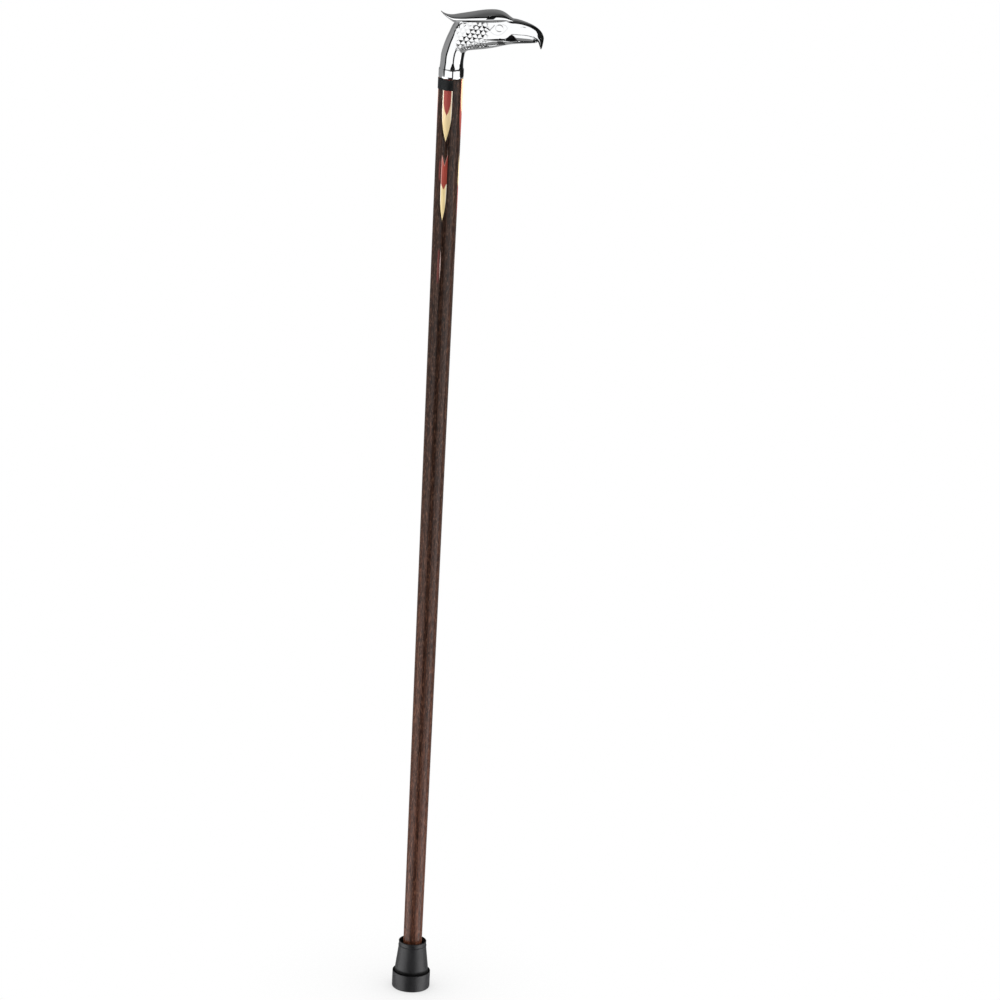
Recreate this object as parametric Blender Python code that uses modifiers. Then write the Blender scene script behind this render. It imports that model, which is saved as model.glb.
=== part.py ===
"""Walking cane: a cast eagle-head handle on an inlaid wooden shaft that stands on a rubber tip.

Metres. +Z runs up the shaft and +X towards the beak. The origin is the centre of the face that the
tip stands on. Every piece of the real cane is an object of its own. The handle is glued and pinned
to the shaft. The tip, with the steel disc inside it, pulls off the foot of the shaft along -Z.
"""

import math

import bmesh
import bpy
import numpy as np
from mathutils import Matrix

MM = 0.001

# Space left between pieces that touch in the real cane
GAP = 0.0003

# How far a cutting body runs on past the face that it opens
CUT_PAST = 0.002

# Edges sharper than this, in degrees, stay crisp in smooth shading
SHARP_ANGLE = 35.0

# Wooden shaft
SHOULDER_HEIGHT = 0.880
SHAFT_TOP_DIAMETER = 0.0222
SHAFT_FOOT_DIAMETER = 0.0175
SHAFT_EDGE = 0.0005
SHAFT_SIDES = 48

# Tenon at the top of the shaft, and the steel stud that pins the handle to it
TENON_DIAMETER = 0.014
TENON_LENGTH = 0.014
STUD_DIAMETER = 0.008
STUD_IN_SHAFT = 0.045
STUD_IN_HANDLE = 0.014
STUD_SIDES = 24

# Rubber tip
TIP_HEIGHT = 0.0466
TIP_WALL = 0.0038
TIP_CONE_SPREAD = 0.0027
TIP_LEDGE = 0.00225
TIP_BAND_HEIGHT = 0.0163
TIP_LEDGE_RISE = 0.0019
TIP_LIP_HEIGHT = 0.0044
TIP_LIP_STEP = 0.0004
TIP_SOLE = 0.012
TIP_SIDES = 32
SOLE_EDGE = 0.0012
SOLE_GROOVES = 2
SOLE_GROOVE_WIDTH = 0.0016
SOLE_GROOVE_DEPTH = 0.0014
SOLE_GROOVE_PITCH = 0.0033
SOLE_CENTRE_RADIUS = 0.0052
DISC_THICKNESS = 0.0012
DISC_CLEARANCE = 0.0004

# Inlaid points: four sets around the shaft, each of a bullet, an arrow and a needle.
# Depths down the shaft are measured from its shoulder. The sets stand nearly a quarter turn apart.
SET_ANGLES = (-13.0, 80.0, 170.0, 260.0)
INLAY_DEPTH = 0.0022
BULLET_HALF_WIDTH = 0.0046
BULLET_TIP = 0.0563
BULLET_POINT_LENGTH = 0.032
BULLET_FULLNESS = 2.0
CORE_HALF_WIDTH = 0.0034
CORE_TIP = 0.0323
CORE_POINT_LENGTH = 0.0225
CORE_FULLNESS = 2.8
ARROW_HALF_WIDTH = 0.0029
ARROW_TOP = 0.069
ARROW_NOTCH = 0.0093
ARROW_SPLIT = 0.095
ARROW_SPLIT_DROP = 0.0054
ARROW_TIP = 0.1292
ARROW_POINT_LENGTH = 0.030
ARROW_FULLNESS = 2.6
NEEDLE_HALF_WIDTH = 0.00035
NEEDLE_TOP = 0.1557
NEEDLE_TIP = 0.1850

# Bare label around the top of the shaft
LABEL_HEIGHT = 0.0096
LABEL_THICKNESS = 0.0003
LABEL_FROM = -100.0
LABEL_TO = 10.0

# Handle: the collar is turned, and everything above it is cast
COLLAR_STEP = 0.0002
COLLAR_HEIGHT = 0.0058
COLLAR_FLARE = 0.0036
COLLAR_ROUND = 0.0009
COLLAR_SINK = 0.0003
NECK_WAIST = 0.0006
NECK_DRAWN_RADIUS = 0.0105
NECK_BLEND_HEIGHT = 0.045
COLLAR_SIDES = 48
HEAD_SIDES = 36
HEAD_RINGS = 58
CAP_RINGS = 32
JAW_RINGS = 18
JAW_SIDES = 18
EYE_RADIUS = 0.0034
EYE_AT = (0.0409, 0.0486)
CHEEK_AT_EYE = 0.0097
EYE_PROUD = 0.0009

# How many points a section is drawn with for each one that is kept of it
EVENING = 8

# Outlines of the head in millimetres, from the centre of the collar's lower face. A head station is
# under_x, under_z, top_x, top_z and half width of a section that leans with the neck, the share of
# the way up where it is widest, and the squareness of its sides below and above that.
HEAD_STATIONS = (
    (10.6, 14.5, -10.2, 14.0, 10.6, 0.50, 2.0, 2.0),
    (11.0, 19.5, -9.8, 21.0, 10.7, 0.50, 2.0, 2.0),
    (11.9, 23.6, -8.5, 27.0, 10.9, 0.50, 2.0, 2.0),
    (14.0, 25.5, -6.3, 34.0, 11.3, 0.48, 2.1, 2.2),
    (17.6, 26.2, -3.5, 41.0, 11.8, 0.45, 2.2, 2.4),
    (21.6, 26.7, 0.2, 49.0, 12.1, 0.43, 2.3, 2.7),
    (26.0, 27.2, 6.0, 55.5, 12.2, 0.42, 2.3, 3.0),
    (31.0, 28.0, 19.0, 59.5, 11.8, 0.42, 2.3, 3.2),
    (36.5, 29.0, 31.5, 60.5, 10.7, 0.44, 2.3, 3.4),
    (41.5, 30.5, 41.0, 60.0, 9.7, 0.46, 2.4, 3.6),
    (46.3, 33.6, 47.2, 58.0, 8.9, 0.48, 2.6, 3.4),
    (50.6, 37.4, 51.6, 55.9, 8.0, 0.54, 3.0, 3.2),
    (54.6, 38.4, 56.0, 55.4, 7.1, 0.58, 3.4, 3.0),
    (59.0, 38.5, 61.0, 54.3, 6.15, 0.60, 3.6, 2.9),
    (63.4, 38.5, 66.2, 52.7, 5.2, 0.62, 3.6, 2.6),
    (67.6, 38.4, 71.0, 50.8, 4.4, 0.65, 3.4, 2.0),
    (71.4, 38.0, 75.4, 48.1, 3.7, 0.67, 3.0, 1.5),
    (74.4, 37.0, 78.8, 44.6, 3.15, 0.66, 2.6, 1.2),
    (76.1, 35.3, 80.9, 39.9, 2.6, 0.62, 2.2, 1.15),
    (77.1, 32.9, 80.6, 35.2, 1.8, 0.55, 2.0, 1.3),
    (78.0, 30.4, 79.8, 31.0, 0.95, 0.50, 2.0, 1.6),
    (78.7, 29.1, 79.2, 29.2, 0.35, 0.50, 2.0, 2.0),
)

# A cap station is x, top_z, rim_z, rim height, keel_z and half width of an upright section.
CAP_STATIONS = (
    (-11.5, 60.2, 59.8, 0.3, 59.4, 0.5),
    (-9.0, 58.5, 57.4, 0.7, 56.7, 2.5),
    (-6.0, 57.2, 55.4, 1.3, 54.3, 4.5),
    (-3.0, 56.7, 53.9, 2.1, 52.2, 6.2),
    (0.0, 56.7, 52.9, 2.9, 50.3, 7.9),
    (4.0, 57.2, 52.6, 3.7, 49.6, 9.9),
    (9.0, 58.1, 52.7, 4.2, 50.8, 11.6),
    (16.0, 59.7, 53.0, 4.8, 51.4, 12.6),
    (24.0, 61.6, 53.3, 5.3, 51.8, 13.0),
    (31.0, 62.7, 53.6, 5.5, 52.0, 12.8),
    (37.5, 62.9, 53.8, 6.0, 52.2, 12.1),
    (42.5, 62.0, 54.2, 5.2, 52.7, 11.0),
    (46.8, 59.9, 54.7, 3.5, 53.4, 9.3),
    (50.6, 57.4, 54.9, 1.6, 53.8, 7.2),
    (54.2, 55.9, 54.8, 0.6, 54.0, 4.6),
)

# The rim's section: each point's share of the half width, and its share of the rim's height
CAP_CREASE = 0.91
CAP_RIM = ((0.97, 0.92), (1.0, 0.68), (0.99, 0.45), (0.94, 0.22), (0.89, 0.0))

# A jaw station has the same numbers as a head station, for the section of the lower beak.
JAW_STATIONS = (
    (31.0, 28.4, 32.0, 37.0, 8.4, 0.70, 2.1, 2.2),
    (36.0, 28.9, 37.0, 39.0, 8.7, 0.74, 2.0, 2.2),
    (41.5, 30.1, 42.5, 41.0, 8.5, 0.80, 1.9, 2.2),
    (46.3, 31.3, 47.3, 42.9, 8.0, 0.85, 1.8, 2.2),
    (51.5, 32.4, 52.5, 44.2, 7.25, 0.85, 1.7, 2.2),
    (58.0, 33.2, 58.6, 43.8, 5.9, 0.85, 1.7, 2.2),
    (64.0, 33.7, 64.4, 43.1, 4.75, 0.85, 1.7, 2.2),
    (69.0, 34.1, 69.6, 42.0, 3.85, 0.83, 1.7, 2.2),
    (73.0, 34.6, 73.8, 40.0, 2.9, 0.78, 1.8, 2.2),
    (75.2, 35.2, 76.2, 37.2, 1.4, 0.70, 2.0, 2.2),
)

SHAFT_TOP_RADIUS = SHAFT_TOP_DIAMETER / 2
SHAFT_FOOT_RADIUS = SHAFT_FOOT_DIAMETER / 2
TENON_RADIUS = TENON_DIAMETER / 2
STUD_RADIUS = STUD_DIAMETER / 2
TENON_TOP = SHOULDER_HEIGHT + TENON_LENGTH
FOOT_HEIGHT = TIP_SOLE + GAP + DISC_THICKNESS + GAP
TAPER_START = TIP_HEIGHT + 0.004
HANDLE_BASE = SHOULDER_HEIGHT + GAP
COLLAR_RADIUS = SHAFT_TOP_RADIUS + COLLAR_STEP
NECK_RADIUS = SHAFT_TOP_RADIUS - NECK_WAIST


def clear_scene():
    for obj in list(bpy.data.objects):
        bpy.data.objects.remove(obj, do_unlink=True)


def new_collection(name):
    collection = bpy.data.collections.new(name)
    bpy.context.scene.collection.children.link(collection)
    return collection


clear_scene()
CANE = new_collection("walking_cane")
CUTTERS = new_collection("cutters")


def material(name, colour, roughness, metallic=0.0):
    made = bpy.data.materials.new(name)
    made.use_nodes = True
    shader = made.node_tree.nodes["Principled BSDF"]
    shader.inputs["Base Color"].default_value = (*colour, 1.0)
    shader.inputs["Roughness"].default_value = roughness
    shader.inputs["Metallic"].default_value = metallic
    return made


CHROME = material("chrome_plate", (0.80, 0.81, 0.82), 0.06, 1.0)
STEEL = material("zinc_plated_steel", (0.56, 0.56, 0.57), 0.35, 1.0)
DARK_WOOD = material("dark_wood", (0.055, 0.030, 0.021), 0.32)
RED_WOOD = material("red_inlay", (0.33, 0.060, 0.055), 0.32)
CREAM_WOOD = material("cream_inlay", (0.80, 0.66, 0.42), 0.32)
BLACK_LABEL = material("black_label", (0.012, 0.014, 0.014), 0.45)
RUBBER = material("grey_rubber", (0.030, 0.030, 0.032), 0.75)


def show(obj, finish):
    """Put a finished piece in the cane's collection with its finish."""
    CANE.objects.link(obj)
    obj.data.materials.append(finish)
    return obj


def hide_cutter(obj):
    """Keep a cutting or guiding body out of the finished cane."""
    CUTTERS.objects.link(obj)
    obj.hide_render = True
    obj.display_type = "WIRE"
    return obj


def boolean(obj, other, operation):
    modifier = obj.modifiers.new(f"{operation.lower()}_{other.name}", "BOOLEAN")
    modifier.operation = operation
    modifier.solver = "EXACT"
    modifier.object = other


def mesh_object(name, vertices, faces):
    mesh = bpy.data.meshes.new(name)
    mesh.from_pydata([tuple(map(float, v)) for v in vertices], [], faces)
    mesh.update()
    return bpy.data.objects.new(name, mesh)


def turned(name, profile, sides):
    """Revolve a profile of (radius, height) about Z. It runs down its outer side."""
    points = [(radius, 0.0, height) for radius, height in profile]
    edges = [(i, i + 1) for i in range(len(points) - 1)]
    mesh = bpy.data.meshes.new(name)
    mesh.from_pydata(points, edges, [])
    obj = bpy.data.objects.new(name, mesh)
    screw = obj.modifiers.new("turn", "SCREW")
    screw.axis = "Z"
    screw.angle = math.tau
    screw.steps = sides
    screw.render_steps = sides
    screw.use_merge_vertices = True
    screw.merge_threshold = 0.00001
    screw.use_smooth_shade = False
    return obj


def arc(centre, radius, start, end, count):
    """Points of a circular arc in the plane of a profile or outline, angles in degrees."""
    angles = np.radians(np.linspace(start, end, count))
    return [(centre[0] + radius * math.cos(a), centre[1] + radius * math.sin(a)) for a in angles]


def prism(name, outline, thickness):
    """A closed outline in the XY plane, thick along Z and centred on it, as a mesh object."""
    curve = bpy.data.curves.new(name, "CURVE")
    curve.dimensions = "2D"
    curve.fill_mode = "BOTH"
    curve.extrude = thickness / 2
    spline = curve.splines.new("POLY")
    spline.points.add(len(outline) - 1)
    for point, (x, y) in zip(spline.points, outline):
        point.co = (x, y, 0.0, 1.0)
    spline.use_cyclic_u = True
    guide = bpy.data.objects.new(f"{name}_outline", curve)
    CUTTERS.objects.link(guide)
    depsgraph = bpy.context.evaluated_depsgraph_get()
    mesh = bpy.data.meshes.new_from_object(guide.evaluated_get(depsgraph))
    bpy.data.objects.remove(guide, do_unlink=True)
    body = bmesh.new()
    body.from_mesh(mesh)
    bmesh.ops.remove_doubles(body, verts=body.verts, dist=0.000001)
    bmesh.ops.recalc_face_normals(body, faces=body.faces)
    body.to_mesh(mesh)
    body.free()
    mesh.name = name
    return bpy.data.objects.new(name, mesh)


def shaft_radius(height):
    """Radius of the shaft: parallel at the foot, then a straight taper up to the shoulder."""
    share = (height - TAPER_START) / (SHOULDER_HEIGHT - TAPER_START)
    share = min(1.0, max(0.0, share))
    return SHAFT_FOOT_RADIUS + (SHAFT_TOP_RADIUS - SHAFT_FOOT_RADIUS) * share


# Wooden shaft, with a tenon at its top and a hole for the stud


def shaft_profile():
    hole_radius = STUD_RADIUS + GAP
    hole_floor = TENON_TOP - STUD_IN_SHAFT - GAP
    return [
        (0.0, hole_floor),
        (hole_radius, hole_floor),
        (hole_radius, TENON_TOP),
        (TENON_RADIUS - SHAFT_EDGE, TENON_TOP),
        (TENON_RADIUS, TENON_TOP - SHAFT_EDGE),
        (TENON_RADIUS, SHOULDER_HEIGHT),
        (SHAFT_TOP_RADIUS, SHOULDER_HEIGHT),
        (SHAFT_FOOT_RADIUS, TAPER_START),
        (SHAFT_FOOT_RADIUS, FOOT_HEIGHT + SHAFT_EDGE),
        (SHAFT_FOOT_RADIUS - SHAFT_EDGE, FOOT_HEIGHT),
        (0.0, FOOT_HEIGHT),
    ]


shaft = show(turned("wooden_shaft", shaft_profile(), SHAFT_SIDES), DARK_WOOD)
blank = hide_cutter(turned("shaft_blank", shaft_profile(), SHAFT_SIDES))


# Inlaid points. An outline lies in the tangent plane of the shaft: x across it, y down from the
# shoulder as a negative number. The sides of a piece stay parallel as they go into the wood.


def pointed_sides(half_width, start, tip, point_length, fullness, steps=7):
    """Both sides of a point, from its left side at start, round its tip, to its right side."""
    shares = np.linspace(0.0, 1.0, steps + 1)[:-1]
    left = [(-half_width, -start)] if start < tip - point_length else []
    left += [(-half_width * (1 - u**fullness), -(tip - point_length * (1 - u))) for u in shares]
    return left + [(0.0, -tip)] + [(-x, y) for x, y in reversed(left)]


def bullet_outline(half_width, tip, point_length, fullness):
    return pointed_sides(half_width, 0.0, tip, point_length, fullness)


def notched(depth, drop, half_width):
    """A V with its arms up at depth and its corner lower by drop, from right to left."""
    return [(half_width, -depth), (0.0, -depth - drop), (-half_width, -depth)]


def arrow_outline():
    sides = pointed_sides(
        ARROW_HALF_WIDTH, ARROW_TOP, ARROW_TIP, ARROW_POINT_LENGTH, ARROW_FULLNESS
    )
    return sides[:-1] + notched(ARROW_TOP, ARROW_NOTCH, ARROW_HALF_WIDTH)[:2]


def arrow_head_outline():
    upper = notched(ARROW_TOP, ARROW_NOTCH, ARROW_HALF_WIDTH)
    lower = notched(ARROW_SPLIT, ARROW_SPLIT_DROP, ARROW_HALF_WIDTH)
    return list(reversed(lower)) + upper


def arrow_tip_outline():
    top = ARROW_SPLIT + GAP * math.hypot(1, ARROW_SPLIT_DROP / ARROW_HALF_WIDTH)
    sides = pointed_sides(ARROW_HALF_WIDTH, top, ARROW_TIP, ARROW_POINT_LENGTH, ARROW_FULLNESS)
    return sides[:-1] + notched(top, ARROW_SPLIT_DROP, ARROW_HALF_WIDTH)[:2]


def needle_outline():
    middle = (NEEDLE_TOP + NEEDLE_TIP) / 2
    return [
        (0.0, -NEEDLE_TOP),
        (-NEEDLE_HALF_WIDTH, -middle),
        (0.0, -NEEDLE_TIP),
        (NEEDLE_HALF_WIDTH, -middle),
    ]


def grown(outline, distance):
    """The outline moved outwards by a distance, with its corners cut at three times that."""
    points = np.array(outline)
    turn = np.cross(points, np.roll(points, -1, axis=0)).sum()
    ahead = np.roll(points, -1, axis=0) - points
    ahead /= np.linalg.norm(ahead, axis=1)[:, None]
    normal = np.stack([ahead[:, 1], -ahead[:, 0]], axis=1) * np.sign(turn)
    corner = normal + np.roll(normal, 1, axis=0)
    scale = 2 / np.maximum((corner**2).sum(axis=1), 4 / 9)
    return [tuple(p) for p in points + distance * corner * scale[:, None]]


def on_shaft(name, outline, angle, depth):
    """A piece with parallel sides, standing on its flat floor in the side of the shaft."""
    reach = depth + CUT_PAST
    floor = SHAFT_TOP_RADIUS - depth
    obj = prism(name, outline, reach)
    place = Matrix.Translation((0.0, -(floor + reach / 2), SHOULDER_HEIGHT))
    turn = Matrix.Rotation(math.radians(90), 4, "X")
    obj.data.transform(Matrix.Rotation(math.radians(angle), 4, "Z") @ place @ turn)
    return obj


def open_top(outline):
    """The outline of a pocket that runs out at the shoulder, past the end of the wood."""
    return [(x, y if y < -GAP else CUT_PAST) for x, y in outline]


def inlay(name, outline, angle, finish):
    piece = show(on_shaft(name, outline, angle, INLAY_DEPTH), finish)
    boolean(piece, blank, "INTERSECT")
    return piece


def pocket(name, outline, angle):
    """The cutter for the pocket that an inlay lies in, with the gap all around it and under it."""
    return hide_cutter(on_shaft(name, open_top(grown(outline, GAP)), angle, INLAY_DEPTH + GAP))


def inlay_set(number, angle, inner, outer):
    """One set of points: bullet, arrow and needle. Neighbouring sets have their colours swapped."""
    bullet = bullet_outline(BULLET_HALF_WIDTH, BULLET_TIP, BULLET_POINT_LENGTH, BULLET_FULLNESS)
    core = bullet_outline(CORE_HALF_WIDTH, CORE_TIP, CORE_POINT_LENGTH, CORE_FULLNESS)
    surround = inlay(f"inlay_{number}_bullet_surround", bullet, angle, outer)
    boolean(surround, pocket(f"core_pocket_{number}", core, angle), "DIFFERENCE")
    inlay(f"inlay_{number}_bullet_core", core, angle, inner)
    inlay(f"inlay_{number}_arrow_head", arrow_head_outline(), angle, inner)
    inlay(f"inlay_{number}_arrow_tip", arrow_tip_outline(), angle, outer)
    inlay(f"inlay_{number}_needle", needle_outline(), angle, CREAM_WOOD)
    outlines = {"bullet": bullet, "arrow": arrow_outline(), "needle": needle_outline()}
    for kind, outline in outlines.items():
        boolean(shaft, pocket(f"{kind}_pocket_{number}", outline, angle), "DIFFERENCE")


for set_number, set_angle in enumerate(SET_ANGLES, start=1):
    colours = (RED_WOOD, CREAM_WOOD) if set_number % 2 else (CREAM_WOOD, RED_WOOD)
    inlay_set(set_number, set_angle, *colours)


# Bare label, wrapped around the top of the shaft


def label_outline():
    inner = SHAFT_TOP_RADIUS + GAP
    count = 15
    start, end = LABEL_FROM - 90, LABEL_TO - 90
    outside = arc((0.0, 0.0), inner + LABEL_THICKNESS, start, end, count)
    return outside + arc((0.0, 0.0), inner, end, start, count)


label = show(prism("bare_label", label_outline(), LABEL_HEIGHT), BLACK_LABEL)
label.location.z = SHOULDER_HEIGHT - LABEL_HEIGHT / 2


# Steel stud that pins the handle to the shaft


def stud_profile():
    top = HANDLE_BASE + TENON_LENGTH + STUD_IN_HANDLE
    bottom = TENON_TOP - STUD_IN_SHAFT
    end = STUD_RADIUS - SHAFT_EDGE
    return [
        (0.0, top),
        (end, top),
        (STUD_RADIUS, top - SHAFT_EDGE),
        (STUD_RADIUS, bottom + SHAFT_EDGE),
        (end, bottom),
        (0.0, bottom),
    ]


show(turned("handle_stud", stud_profile(), STUD_SIDES), STEEL)


# Rubber tip: a flared foot with a ringed sole, and a steel disc at the floor of its bore


def sole_profile(edge_radius):
    """The sole from its outer edge in to its centre, with ring grooves around a flat middle."""
    points = [(edge_radius, SOLE_EDGE), (edge_radius - SOLE_EDGE, 0.0)]
    for ring in reversed(range(SOLE_GROOVES)):
        inner = SOLE_CENTRE_RADIUS + ring * SOLE_GROOVE_PITCH
        outer = inner + SOLE_GROOVE_WIDTH
        points += [(outer, 0.0), (outer, SOLE_GROOVE_DEPTH)]
        points += [(inner, SOLE_GROOVE_DEPTH), (inner, 0.0)]
    return points + [(0.0, 0.0)]


def tip_profile():
    bore = SHAFT_FOOT_RADIUS + GAP
    mouth = bore + TIP_WALL
    cone_foot = mouth + TIP_CONE_SPREAD
    edge = cone_foot + TIP_LEDGE
    lip_foot = TIP_HEIGHT - TIP_LIP_HEIGHT
    lip = TIP_LIP_HEIGHT / 2
    inside = [(0.0, TIP_SOLE), (bore, TIP_SOLE), (bore, TIP_HEIGHT - lip / 2)]
    rim = [(bore + lip / 2, TIP_HEIGHT), (mouth - lip + TIP_LIP_STEP, TIP_HEIGHT)]
    bead = arc((mouth - lip + TIP_LIP_STEP, TIP_HEIGHT - lip), lip, 60, -50, 6)
    groove = [(mouth - TIP_LIP_STEP, lip_foot)]
    flare = [(cone_foot, TIP_BAND_HEIGHT + TIP_LEDGE_RISE), (edge, TIP_BAND_HEIGHT)]
    return inside + rim + bead + groove + flare + sole_profile(edge)


def disc_profile():
    radius = SHAFT_FOOT_RADIUS - DISC_CLEARANCE
    floor = TIP_SOLE + GAP
    top = floor + DISC_THICKNESS
    return [(0.0, top), (radius, top), (radius, floor), (0.0, floor)]


show(turned("rubber_tip", tip_profile(), TIP_SIDES), RUBBER)
show(turned("tip_disc", disc_profile(), TIP_SIDES), STEEL)


# Cast handle: neck, head and upper beak in one loft, with the cap, the lower beak, the eyes and the
# collar joined to it


def through(stations, count):
    """Rows evenly spread along a smooth curve through the stations, by centripetal steps."""
    rows = np.array(stations, dtype=float)
    ends = np.vstack([2 * rows[0] - rows[1], rows, 2 * rows[-1] - rows[-2]])
    steps = np.sqrt(np.linalg.norm(np.diff(rows[:, :4], axis=0), axis=1))
    knots = np.concatenate([[0.0], np.cumsum(steps)])
    wide = np.concatenate([[knots[0] - steps[0]], knots, [knots[-1] + steps[-1]]])
    slopes = (ends[2:] - ends[:-2]) / (wide[2:] - wide[:-2])[:, None]
    at = np.linspace(knots[0], knots[-1], count)
    piece = np.clip(np.searchsorted(knots, at, side="right") - 1, 0, len(rows) - 2)
    length = (knots[piece + 1] - knots[piece])[:, None]
    u = ((at - knots[piece])[:, None]) / length
    start = (2 * u**3 - 3 * u**2 + 1) * rows[piece] + (u**3 - 2 * u**2 + u) * length * slopes[piece]
    end = (3 * u**2 - 2 * u**3) * rows[piece + 1] + (u**3 - u**2) * length * slopes[piece + 1]
    return start + end


def lofted(name, rings):
    """A closed body through rings of points, all with the same count, capped at both ends."""
    count, sides = rings.shape[:2]
    faces = [tuple(reversed(range(sides)))]
    for ring in range(count - 1):
        base = ring * sides
        for side in range(sides):
            ahead = (side + 1) % sides
            faces.append((base + side, base + ahead, base + sides + ahead, base + sides + side))
    faces.append(tuple(range((count - 1) * sides, count * sides)))
    obj = mesh_object(name, rings.reshape(-1, 3), faces)
    body = bmesh.new()
    body.from_mesh(obj.data)
    bmesh.ops.triangulate(body, faces=[f for f in body.faces if len(f.verts) > 4])
    bmesh.ops.recalc_face_normals(body, faces=body.faces)
    body.to_mesh(obj.data)
    body.free()
    return obj


def evened(rings):
    """The same rings with each one's points moved along it to equal distances from each other."""
    closed = np.concatenate([rings, rings[:, :1]], axis=1)
    steps = np.linalg.norm(np.diff(closed, axis=1), axis=2)
    walked = np.concatenate([np.zeros((len(rings), 1)), np.cumsum(steps, axis=1)], axis=1)
    spread = []
    for ring, way in zip(closed, walked):
        places = np.linspace(0.0, way[-1], rings.shape[1], endpoint=False)
        spread.append(np.stack([np.interp(places, way, ring[:, axis]) for axis in range(3)], axis=1))
    return np.stack(spread)


def leaning_rings(rows, sides):
    """Sections between an under point and a top point. Each side is widest at a share of the way
    up, and the parts below and above are superellipse quarters of their own squareness."""
    fine = sides * EVENING
    turn = np.linspace(0.0, math.tau, fine, endpoint=False)[None, :]
    under, top = rows[:, None, 0:2], rows[:, None, 2:4]
    half_width, widest, low, high = (rows[:, column][:, None] for column in (4, 5, 6, 7))
    square = np.where(np.cos(turn) > 0, low, high)
    part = np.where(np.cos(turn) > 0, widest, 1 - widest)
    reach = (np.abs(np.cos(turn)) ** square + np.abs(np.sin(turn)) ** square) ** (-1 / square)
    share = widest - np.cos(turn) * reach * part
    across = half_width * np.sin(turn) * reach
    side = under + (top - under) * share[:, :, None]
    drawn = evened(np.stack([side[:, :, 0], across, side[:, :, 1]], axis=2))
    return drawn[:, ::EVENING]


def neck_stations():
    """The neck below the cast stations, as round as the shaft that it carries on from."""
    radius = NECK_RADIUS / MM
    return [(radius, z, -radius, z, radius, 0.5, 2.0, 2.0) for z in (4.0, 9.0)]


def blended_stations():
    """The head's stations, with any change of the neck's radius fading out on the way up."""
    rows = np.array(HEAD_STATIONS)
    share = np.clip(1 - (rows[:, 1] + rows[:, 3]) / 2 / (NECK_BLEND_HEIGHT / MM), 0.0, 1.0)
    change = (NECK_RADIUS - NECK_DRAWN_RADIUS) / MM * np.sqrt(share)
    rows[:, 0] += change
    rows[:, 2] -= change
    rows[:, 4] += change
    return rows


def head_rings():
    rows = through(np.vstack([neck_stations(), blended_stations()]), HEAD_RINGS)
    return leaning_rings(rows, HEAD_SIDES) * MM


def cap_rings():
    """Upright sections: a domed crown, a rounded rim, and an underside that falls to a keel."""
    rows = through(CAP_STATIONS, CAP_RINGS)
    x, top, rim, rise, keel, half = rows.T
    crown = top - rim - rise
    right = [
        (half * CAP_CREASE * math.cos(a), rim + rise + crown * math.sin(a))
        for a in np.radians(np.linspace(90, 0, 6))
    ]
    right += [(half * out, rim + rise * up) for out, up in CAP_RIM]
    right += [(half / 2, (rim + keel) / 2), (half * 0.0, keel)]
    left = [(-y, z) for y, z in reversed(right[1:-1])]
    points = [np.stack([x, y + 0 * x, z + 0 * x], axis=1) for y, z in right + left]
    return np.stack(points, axis=1) * MM


def jaw_rings():
    return leaning_rings(through(JAW_STATIONS, JAW_RINGS), JAW_SIDES) * MM


def eye(side):
    """A ball that stands a little proud of the cheek, under the brow."""
    depth = CHEEK_AT_EYE + EYE_PROUD - EYE_RADIUS
    ball = bmesh.new()
    bmesh.ops.create_uvsphere(ball, u_segments=16, v_segments=10, radius=EYE_RADIUS)
    turn = Matrix.Rotation(math.radians(90), 4, "X")
    bmesh.ops.transform(ball, matrix=turn, verts=ball.verts)
    mesh = bpy.data.meshes.new("eye")
    ball.to_mesh(mesh)
    ball.free()
    obj = bpy.data.objects.new(f"eye_{'left' if side > 0 else 'right'}", mesh)
    obj.data.transform(Matrix.Translation((EYE_AT[0], side * depth, EYE_AT[1])))
    return obj


def collar_profile():
    """The collar: a plain band, rounded under, that sweeps in to just below the neck's surface."""
    top = COLLAR_HEIGHT + COLLAR_FLARE
    step = COLLAR_RADIUS - NECK_RADIUS + COLLAR_SINK
    sweep = [
        (COLLAR_RADIUS - step * math.cos(a), top - COLLAR_FLARE * math.sin(a))
        for a in np.radians(np.linspace(0, 90, 6))
    ]
    inside = NECK_RADIUS - 2 * COLLAR_SINK
    round_under = arc((COLLAR_RADIUS - COLLAR_ROUND, COLLAR_ROUND), COLLAR_ROUND, 0, -90, 5)
    return [(0.0, top + step), (inside, top + step)] + sweep + round_under + [(0.0, 0.0)]


def socket_profile():
    """The bore for the tenon, and above it the bore for the stud."""
    bore = TENON_RADIUS + GAP
    stud_bore = STUD_RADIUS + GAP
    return [
        (0.0, TENON_LENGTH + STUD_IN_HANDLE + GAP),
        (stud_bore, TENON_LENGTH + STUD_IN_HANDLE + GAP),
        (stud_bore, TENON_LENGTH),
        (bore, TENON_LENGTH),
        (bore, -CUT_PAST),
        (0.0, -CUT_PAST),
    ]


handle = show(lofted("eagle_head_handle", head_rings()), CHROME)
additions = [lofted("head_cap", cap_rings()), lofted("lower_beak", jaw_rings())]
additions += [turned("collar", collar_profile(), COLLAR_SIDES), eye(1), eye(-1)]
for addition in additions:
    hide_cutter(addition).location.z = HANDLE_BASE
    boolean(handle, addition, "UNION")
socket = hide_cutter(turned("socket", socket_profile(), COLLAR_SIDES))
socket.location.z = HANDLE_BASE
boolean(handle, socket, "DIFFERENCE")
handle.location.z = HANDLE_BASE

for piece in CANE.objects:
    if piece.type == "MESH":
        piece.data.shade_smooth()
        piece.data.set_sharp_from_angle(angle=math.radians(SHARP_ANGLE))

# The tip and its disc move together, so both hang from an empty on the axis of the pull
pull = bpy.data.objects.new("tip_pull", None)
CANE.objects.link(pull)
for name in ("rubber_tip", "tip_disc"):
    bpy.data.objects[name].parent = pull
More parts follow.
